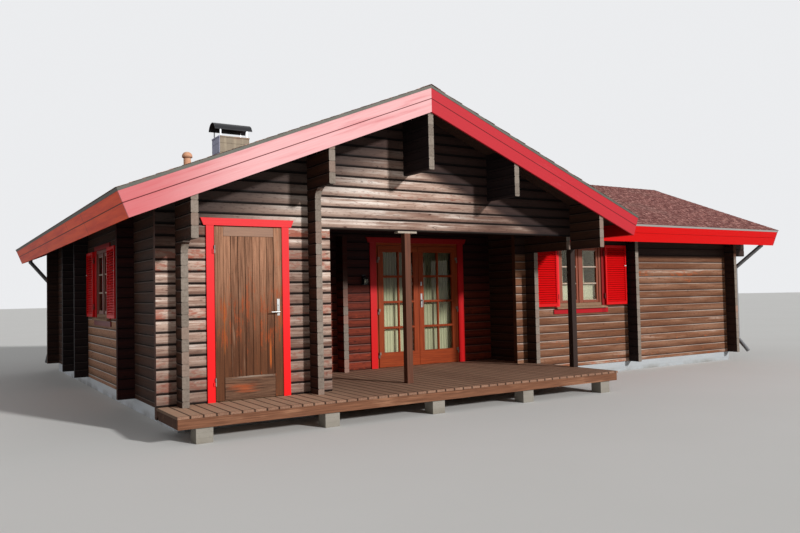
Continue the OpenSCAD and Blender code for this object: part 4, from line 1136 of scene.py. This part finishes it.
def lever_set(made, x, z, plate, lever, out, drop, up_to_spindle):
    """A long plate with a keyhole, a spindle and a lever to the left, or hanging down."""
    plate_w, plate_t, plate_h = plate
    plank(made, (x, -plate_t, z), (x + plate_w, 0.0005, z + plate_h), 0.0015, 2)
    middle, spindle = x + plate_w / 2, z + up_to_spindle
    round_bar(made, (middle, 0, spindle), (middle, -0.012, spindle), 0.014)
    round_bar(made, (middle, -0.01, spindle), (middle, -out - 0.008, spindle), 0.0085)
    tail_x, tail_z = (middle, spindle - lever) if drop else (middle - lever, spindle)
    round_bar(made, (middle, -out - 0.007, spindle), (tail_x, -out - 0.007, tail_z),
              0.0088, 16, 0.0065)
    key = z + 0.17 - up_to_spindle
    round_bar(made, (middle, 0, key), (middle, -plate_t - 0.003, key), 0.0085)
    for up in (0.012, plate_h - 0.012):
        round_bar(made, (middle, 0, z + up), (middle, -plate_t - 0.0012, z + up), 0.0035, 12)


bright = finish("bright_steel", dull_metal((168, 168, 166), (120, 118, 114), 0.3, 0.9))
door_steel = bmesh.new()
lever_set(door_steel, leaf_w - stile + 0.034, 0.955, (0.036, 0.004, 0.2), 0.108, 0.042,
          False, 0.045)
# The leaf's halves of lift-off hinges: a barrel with a finial, and an arm
pin_x, pin_y, barrel_h = -0.003, -0.012, 0.045
for z in (0.22, 1.74):
    round_bar(door_steel, (pin_x, pin_y, z + 0.0002), (pin_x, pin_y, z + barrel_h), 0.0088)
    round_bar(door_steel, (pin_x, pin_y, z + 0.044), (pin_x, pin_y, z + 0.05), 0.005, 12)
    plank(door_steel, (pin_x, pin_y - 0.002, z + 0.0002),
          (pin_x + 0.006, pin_y + 0.0115, z + barrel_h), 0.0008)
piece("door_fittings", door_steel, door_place, "plank_door", bright)

# ---- Glazed doors ----
# A pair of pine leaves, varnished, with eight panes each between narrow glazing beads, and
# a lever on the right leaf with a separate keyhole plate over it.
def leaf_hinges(values, axes, fibre, luck):
    hinge_steel(values, axes[1] - front_y < french_face_y, (120, 104, 92), 0.5)


bottom_rail, pane_side, bar, french_w, french_h = 0.23, 0.095, 0.022, 0.777, 1.967
leaf_look = finish("glazed_leaves", timber(
    *varnish, joinery(door_foot + bottom_rail, door_head - pane_side), 0.02, 0.33, None,
    0.0012, 7, leaf_hinges))
pane_w = (french_w - 2 * pane_side - bar) / 2
pane_h = (french_h - pane_side - bottom_rail - 3 * bar) / 4
bead = 0.008
left_leaf, right_leaf = (house @ Matrix.Translation((x, porch_y - 0.015, door_foot))
                         for x in (french_hinge_left, french_hinge_right))
right_leaf = right_leaf @ Matrix.Diagonal((-1, 1, 1, 1))
for side, place in (("left", left_leaf), ("right", right_leaf)):
    node = "french_door_" + side
    dress(node, leaf_look)
    beads = bmesh.new()
    for i in range(2):
        for j in range(4):
            x = pane_side + i * (pane_w + bar)
            z = bottom_rail + j * (pane_h + bar)
            x_end, z_end = x + pane_w, z + pane_h
            for x0, z0, x1, z1 in ((x, z, x + bead, z_end), (x_end - bead, z, x_end, z_end),
                                   (x + bead, z, x_end - bead, z + bead),
                                   (x + bead, z_end - bead, x_end - bead, z_end)):
                plank(beads, (x0, 0.0085, z0), (x1, 0.0185, z1), 0.002)
    piece(node + "_beads", beads, place, "french_leaf_" + side, leaf_look)

handle, keyhole = bmesh.new(), bmesh.new()
handle_x = french_w - (pane_side + 0.034) / 2
lever_set(handle, handle_x, 0.95, (0.034, 0.004, 0.23), 0.108, 0.038, True, 0.12)
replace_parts(piece("leaf_lever", handle, right_leaf, "french_leaf_right", bright),
            "french_door_handle")
plank(keyhole, (handle_x + 0.003, -0.004, 1.31), (handle_x + 0.031, 0.0005, 1.375), 0.0015, 2)
round_bar(keyhole, (handle_x + 0.017, 0, 1.345), (handle_x + 0.017, -0.008, 1.345), 0.0095)
piece("leaf_keyhole", keyhole, right_leaf, "french_leaf_right", bright)

# Thin clear glass lets light through and mirrors more towards its edge
glass = bpy.data.materials.new("pane_glass")
glass.use_nodes = True
nodes = glass.node_tree.nodes
nodes.remove(nodes["Principled BSDF"])
edge = nodes.new("ShaderNodeFresnel")
edge.inputs["IOR"].default_value = 1.35
edge = Tone(edge.outputs[0])
clear = edge.node("BsdfTransparent", {}, {"Color": (0.86, 0.87, 0.8, 1)})
shiny = edge.node("BsdfGlossy", {}, {"Color": (0.62, 0.56, 0.5, 1), "Roughness": 0.02})
mixed = edge.node("MixShader", {}, {0: edge, 1: clear, 2: shiny})
glass.node_tree.links.new(mixed.socket, nodes["Material Output"].inputs["Surface"])
for node in ("french_glass_left", "french_glass_right", "window_glass"):
    dress(node, glass)

# ---- Windows ----
# Varnished pine frames with a wide mullion. Each casement is one column of three panes
# between pale bars; the frame's foot and the sill are weathered to cream.
window_w, window_h, window_z = 1.04, 1.085, 1.21
frame_side, sash_side, mullion = 0.055, 0.048, 0.07
sash_front, sash_back, window_pane_y = 0.014, 0.07, 0.033
wing_window_x, left_window_y, trim_foot = 4.2825, 4.16, window_z - 0.012
wing_window = house @ Matrix.Translation((wing_window_x, wing_front, window_z))
left_window = (house @ Matrix.Translation((-side_x, left_window_y, window_z))
               @ Matrix.Rotation(-math.pi / 2, 4, "Z"))
window_places = ("wing_window", wing_window), ("left_window", left_window)
light_w = (window_w - 2 * frame_side - mullion) / 2
half = window_w / 2


def left_window_shade(values, axes, fibre, luck):
    # Painted shade on the left window's frame, which faces away from the lamp
    recoat(values, ((axes[0] - ridge_x < -3.0) * 0.6, (78, 26, 18)))


window_grain = joinery(window_z + frame_side + sash_side,
                       window_z + window_h - frame_side, True)
window_pine = finish("window_pine", timber(
    (95, 36, 14), (147, 67, 30), (164, 92, 52), window_grain, 0.02, 0.4, None, 0.0012, 9,
    left_window_shade))
cream_wood = finish("cream_wood", timber(
    (118, 88, 66), (158, 126, 100), (178, 150, 124), window_grain, 0.05, 0.6, None, 0.0016,
    13))
pale_bars = finish("pale_bars", timber(
    (150, 126, 108), (196, 178, 160), (214, 202, 188), window_grain, 0.05, 0.55, None,
    0.001, 15))
for name, place in window_places:
    frame_wood, feet, bars = bmesh.new(), bmesh.new(), bmesh.new()
    foot, head = frame_side, window_h - frame_side
    for low, high in ((-half, -half + frame_side), (half - frame_side, half),
                      (-mullion / 2, mullion / 2)):
        plank(frame_wood, (low, 0, foot + seat), (high, wall_t, head), 0.003)
    plank(frame_wood, (-half, 0.0004, head + seat), (half, wall_t, window_h), 0.003)
    # The frame's foot, and the sill's two boards
    plank(feet, (-half, 0.0004, 0), (half, wall_t, frame_side), 0.003)
    plank(feet, (-0.62, -0.06, -0.042), (0.62, 0.0, -0.014), 0.003)
    plank(feet, (-0.6, -0.03, -0.014), (0.6, 0.0, -0.0005), 0.002)
    for side in (-1, 1):
        mid = side * (light_w + mullion) / 2
        left, right = mid - light_w / 2, mid + light_w / 2
        for x0, x1 in ((left + 0.002, left + sash_side), (right - sash_side, right - 0.002)):
            plank(frame_wood, (x0, sash_front, foot + 0.002), (x1, sash_back, head - 0.002),
                  0.003)
        left, right = left + sash_side, right - sash_side
        for z0, z1 in ((foot + 0.002, foot + sash_side), (head - sash_side, head - 0.002)):
            plank(frame_wood, (left + seat, sash_front + 0.0004, z0),
                  (right - seat, sash_back - 0.0004, z1), 0.003)
        low, high = foot + sash_side, head - sash_side
        for i in (1, 2):
            z = low + (high - low) * i / 3
            for y0, y1 in ((sash_front + 0.003, window_pane_y - 0.0005),
                           (window_pane_y + 0.0045, window_pane_y + 0.02)):
                plank(bars, (left, y0, z - 0.011), (right, y1, z + 0.011), 0.003)
        # A glazing bead at the foot and the head of each light
        for z0, z1 in ((low, low + 0.007), (high - 0.007, high)):
            plank(bars, (left, 0.022, z0), (right, window_pane_y - 0.0005, z1), 0.0015)
    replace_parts(piece(name + "_frame", frame_wood, place, "house",
                      window_pine), "window_frames")
    piece(name + "_foot", feet, place, "house", cream_wood)
    piece(name + "_bars", bars, place, "house", pale_bars)


trim_out, right_trim_x = 0.0185, wing_window_x + 0.55


def window_trim_hinges(values, axes, fibre, streak):
    """Painted shade in deep red below the sill, at the head on the left, and beside the right
    shutter, where its shadow falls.
    """
    lx, ly, z = on_house(axes)
    steel = ((lx > 0) * (ly < wing_front - trim_out)) | (lx < -side_x - trim_out)
    # Painted shadow of the right shutter beside it, painted shade at the left head and sills
    painted_dimming = (abs(lx - right_trim_x) < 0.045) * 0.75
    painted_dimming = painted_dimming + (lx < -3) * (z > window_z + window_h) * 0.7
    recoat(values, (painted_dimming, (72, 14, 12)),
           ((z < trim_foot) * 0.85, (lx < -3).blend((150, 10, 22), (56, 8, 10))))
    hinge_steel(values, steel, (104, 52, 46), 0.4)


dress("window_trims", finish("window_trims", painted(
    *red, joinery(trim_foot, window_z + window_h, True), 0.0, 0.42, 0.0012, 5,
    window_trim_hinges)))

# ---- Shutters ----
# Louvred pine shutters on lift-off hinges, painted bright red, standing open on the wall.
# Each has a small white catch on its free stile.
hinge_from_middle, shutter_w = 0.59, 0.545
free_edge = hinge_from_middle + shutter_w


def shutter_hinges(values, axes, fibre, streak):
    lx, ly, _ = on_house(axes)
    reach = hinge_from_middle - 0.001
    steel = (abs(lx - wing_window_x) < reach) * (lx > 3.2)
    steel = steel | ((abs(ly - left_window_y) < reach) * (lx < -3))
    hinge_steel(values, steel, (112, 44, 40), 0.4)


shutter_red = finish("shutter_red", painted(
    (212, 8, 12), (222, 36, 36), (176, 4, 8), 2, -0.06, 0.45, 0.0008, 9, shutter_hinges))
catch_white = finish("catch_white", dull_metal((226, 224, 218), (196, 192, 186), 0.4, 0.1))
for node, body, place, side in (
        ("wing_shutter_left", "shutter_wing_left", wing_window, -1),
        ("wing_shutter_right", "shutter_wing_right", wing_window, 1),
        ("left_shutter_rear", "shutter_left_rear", left_window, -1),
        ("left_shutter_front", "shutter_left_front", left_window, 1)):
    dress(node, shutter_red)
    catch = bmesh.new()
    x0, x1 = sorted((side * (free_edge - 0.002), side * (free_edge - 0.05)))
    plank(catch, (x0, -0.0595, 0.70), (x1, -0.0558, 0.716), 0.001)
    x = side * (free_edge - 0.012)
    round_bar(catch, (x, -0.056, 0.708), (x, -0.066, 0.708), 0.006, 12)
    piece(body + "_catch", catch, place, body, catch_white)

# ---- Curtains ----
# White voile, pleated on thin brass rods: full-height pairs behind the glazed doors, and in
# each casement a short one below with a narrow gathered one beside it above.
cloth_t, rod_up = 0.0006, 0.0038


def voile(place):
    """Painted paler in the wing's window for the light it gets, with painted shade towards the
    heads and on the right leaf.
    """
    x, y, z = place.parts()
    lx = x - ridge_x
    weave = streaky(x * 900, y * 900, z * 900, 2, 0.5)
    slub = streaky(x * 30, y * 30, z * 260, 3, 0.6)
    in_wing = lx > 3
    painted_dimming = z.rise(1.0, 1.9) * (1 - in_wing) + z.rise(1.5, 1.85) * in_wing
    # Painted light in the wing; painted shade on the right leaf and towards the heads
    colour = coats(
        cloudy(place, 7, 3).blend((222, 220, 204), (240, 237, 224)),
        (slub.rise(0.55, 0.75) * 0.25, (204, 202, 184)),
        (in_wing * 0.8, (246, 244, 244)),
        ((lx > 1.45) * (1 - in_wing) * 0.22, (80, 82, 72)),
        (painted_dimming * 0.85, (92, 84, 68)))
    return surface(colour, 0.92, weave * 0.5 + slub * 0.5, 0.0006, 0.5)


voile_look = finish("voile", voile)
brass = finish("brass_rod", dull_metal((186, 150, 92), (146, 112, 62), 0.32, 0.8))


def hang(name, place, left, right, low, high, middle, deep, pleats, seed, wood=0.0):
    """A pleated curtain, as one sheet with the width of the cloth in its folds, on a rod
    that two pins hold off the face of the wood."""
    luck = random.Random(seed)
    cloth = bmesh.new()
    bmesh.ops.create_grid(cloth, x_segments=pleats * 10, y_segments=14, size=0.5)
    swing = [luck.uniform(0.6, 1.0) for _ in range(pleats + 1)]
    lean = [luck.uniform(-0.5, 0.5) for _ in range(pleats + 1)]
    for vert in cloth.verts:
        u, v = vert.co.x + 0.5, vert.co.y + 0.5
        turn_in = u * pleats
        k = min(int(turn_in), pleats - 1)
        share = turn_in - k
        size = swing[k] * (1 - share) + swing[k + 1] * share
        drift = (lean[k] * (1 - share) + lean[k + 1] * share) * (1 - v)
        wave = math.sin(2 * math.pi * turn_in + drift * 1.6)
        fold = deep * size * (0.75 + 0.25 * (1 - v)) * wave
        vert.co = Vector((left + (right - left) * u, middle + fold, low + (high - low) * v))
    rows = {}
    for vert in cloth.verts:
        rows.setdefault(round(vert.co.z, 5), []).append(vert.co.copy())
    for row in rows.values():
        row.sort(key=lambda co: co.x)
    bmesh.ops.recalc_face_normals(cloth, faces=cloth.faces[:])
    bmesh.ops.solidify(cloth, geom=cloth.faces[:], thickness=cloth_t)
    curtain = piece(name, cloth, place, "house", voile_look, True)
    rod, rod_z = bmesh.new(), high + rod_up
    round_bar(rod, (left - 0.004, middle, rod_z), (right + 0.004, middle, rod_z), 0.0035, 12)
    for x in (left, right):
        round_bar(rod, (x, wood - 0.0005, rod_z), (x, middle, rod_z), 0.0025, 12)
    rod = piece(name + "_rod", rod, place, "house", brass)
    return curtain


for name, place in window_places:
    for i in range(2):
        left = (i - 1) * 0.52 + 0.02
        short = hang(f"{name}_short_{i}", place, left + 0.005, left + 0.475, 0.022, 0.405,
                     0.0848, 0.0036, 13, 10 + i, wall_t)
        hang(f"{name}_side_{i}", place, left + 0.05, left + 0.17, 0.03, 1.055,
             0.0948, 0.0042, 4, 20 + i, wall_t)
        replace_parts(short, "curtains")
behind_doors = house @ Matrix.Translation((french_x, porch_y + wall_t, 0))
for i, (left, right) in enumerate(((-0.755, -0.1), (0.1, 0.755))):
    hang(f"door_curtain_{i}", behind_doors, left, right, 0.345, 2.296, 0.0103, 0.0088, 12,
         30 + i)

# ---- Lantern ----
# A black sheet lantern on a back plate beside the glazed doors: four bars, glass panes, a
# pitched hood and a lamp holder inside.
black = finish("lantern_black", dull_metal((36, 36, 38), (20, 20, 22), 0.4, 0.4))
lamp_low, lamp_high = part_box("wall_lamp")
cage_w, cage_h, cage_out = 0.084, 0.15, 0.095
middle, hood_y, bulb_y = cage_w / 2, -cage_out / 2 - 0.004, -0.05
lantern_place = Matrix.Translation((lamp_low.x, lamp_high.y, lamp_low.z + 0.008))
lantern = bmesh.new()
plank(lantern, (0.008, -0.009, -0.008), (cage_w - 0.008, -0.0005, cage_h + 0.008), 0.0015)
plank(lantern, (0.002, -cage_out + 0.014, 0.0), (cage_w - 0.002, -0.009, 0.008), 0.001)
plank(lantern, (0.0, -cage_out + 0.002, 0.098), (cage_w, -0.009, 0.106), 0.001)
for x in (0.006, cage_w - 0.006):
    for y, lean in ((-cage_out + 0.02, 0.012), (-0.014, 0)):
        round_bar(lantern, (x, y, 0.004), (x, y - lean, 0.1), 0.0032, 8)
bmesh.ops.create_cone(
    lantern, cap_ends=True, segments=4, radius1=0.057, radius2=0.012, depth=0.036,
    matrix=Matrix.Translation((middle, hood_y, 0.1245)) @ Matrix.Rotation(math.pi / 4, 4, "Z"))
round_bar(lantern, (middle, hood_y, 0.14), (middle, hood_y, 0.15), 0.008, 12)
round_bar(lantern, (middle, -0.006, 0.02), (middle, bulb_y, 0.02), 0.004, 12)
round_bar(lantern, (middle, bulb_y, 0.008), (middle, bulb_y, 0.034), 0.011, 16)
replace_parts(piece("lantern_cage", lantern, lantern_place, "house", black),
            "wall_lamp")
panes, pane_foot, pane_top = bmesh.new(), 0.009, 0.097
plank(panes, (0.009, -cage_out + 0.013, pane_foot), (cage_w - 0.009, -cage_out + 0.015, pane_top))
for x in (0.004, cage_w - 0.006):
    plank(panes, (x, -cage_out + 0.022, pane_foot), (x + 0.002, -0.018, pane_top))
piece("lantern_panes", panes, lantern_place, "house", glass)
bulb = bmesh.new()
bmesh.ops.create_uvsphere(
    bulb, u_segments=16, v_segments=10, radius=0.02,
    matrix=Matrix.Translation((middle, bulb_y, 0.055)) @ Matrix.Diagonal((1, 1, 1.2, 1)))
piece("lantern_bulb", bulb, lantern_place, "house", finish(
    "frosted_bulb", dull_metal((224, 224, 218), (206, 206, 198), 0.3, 0.0)), True)
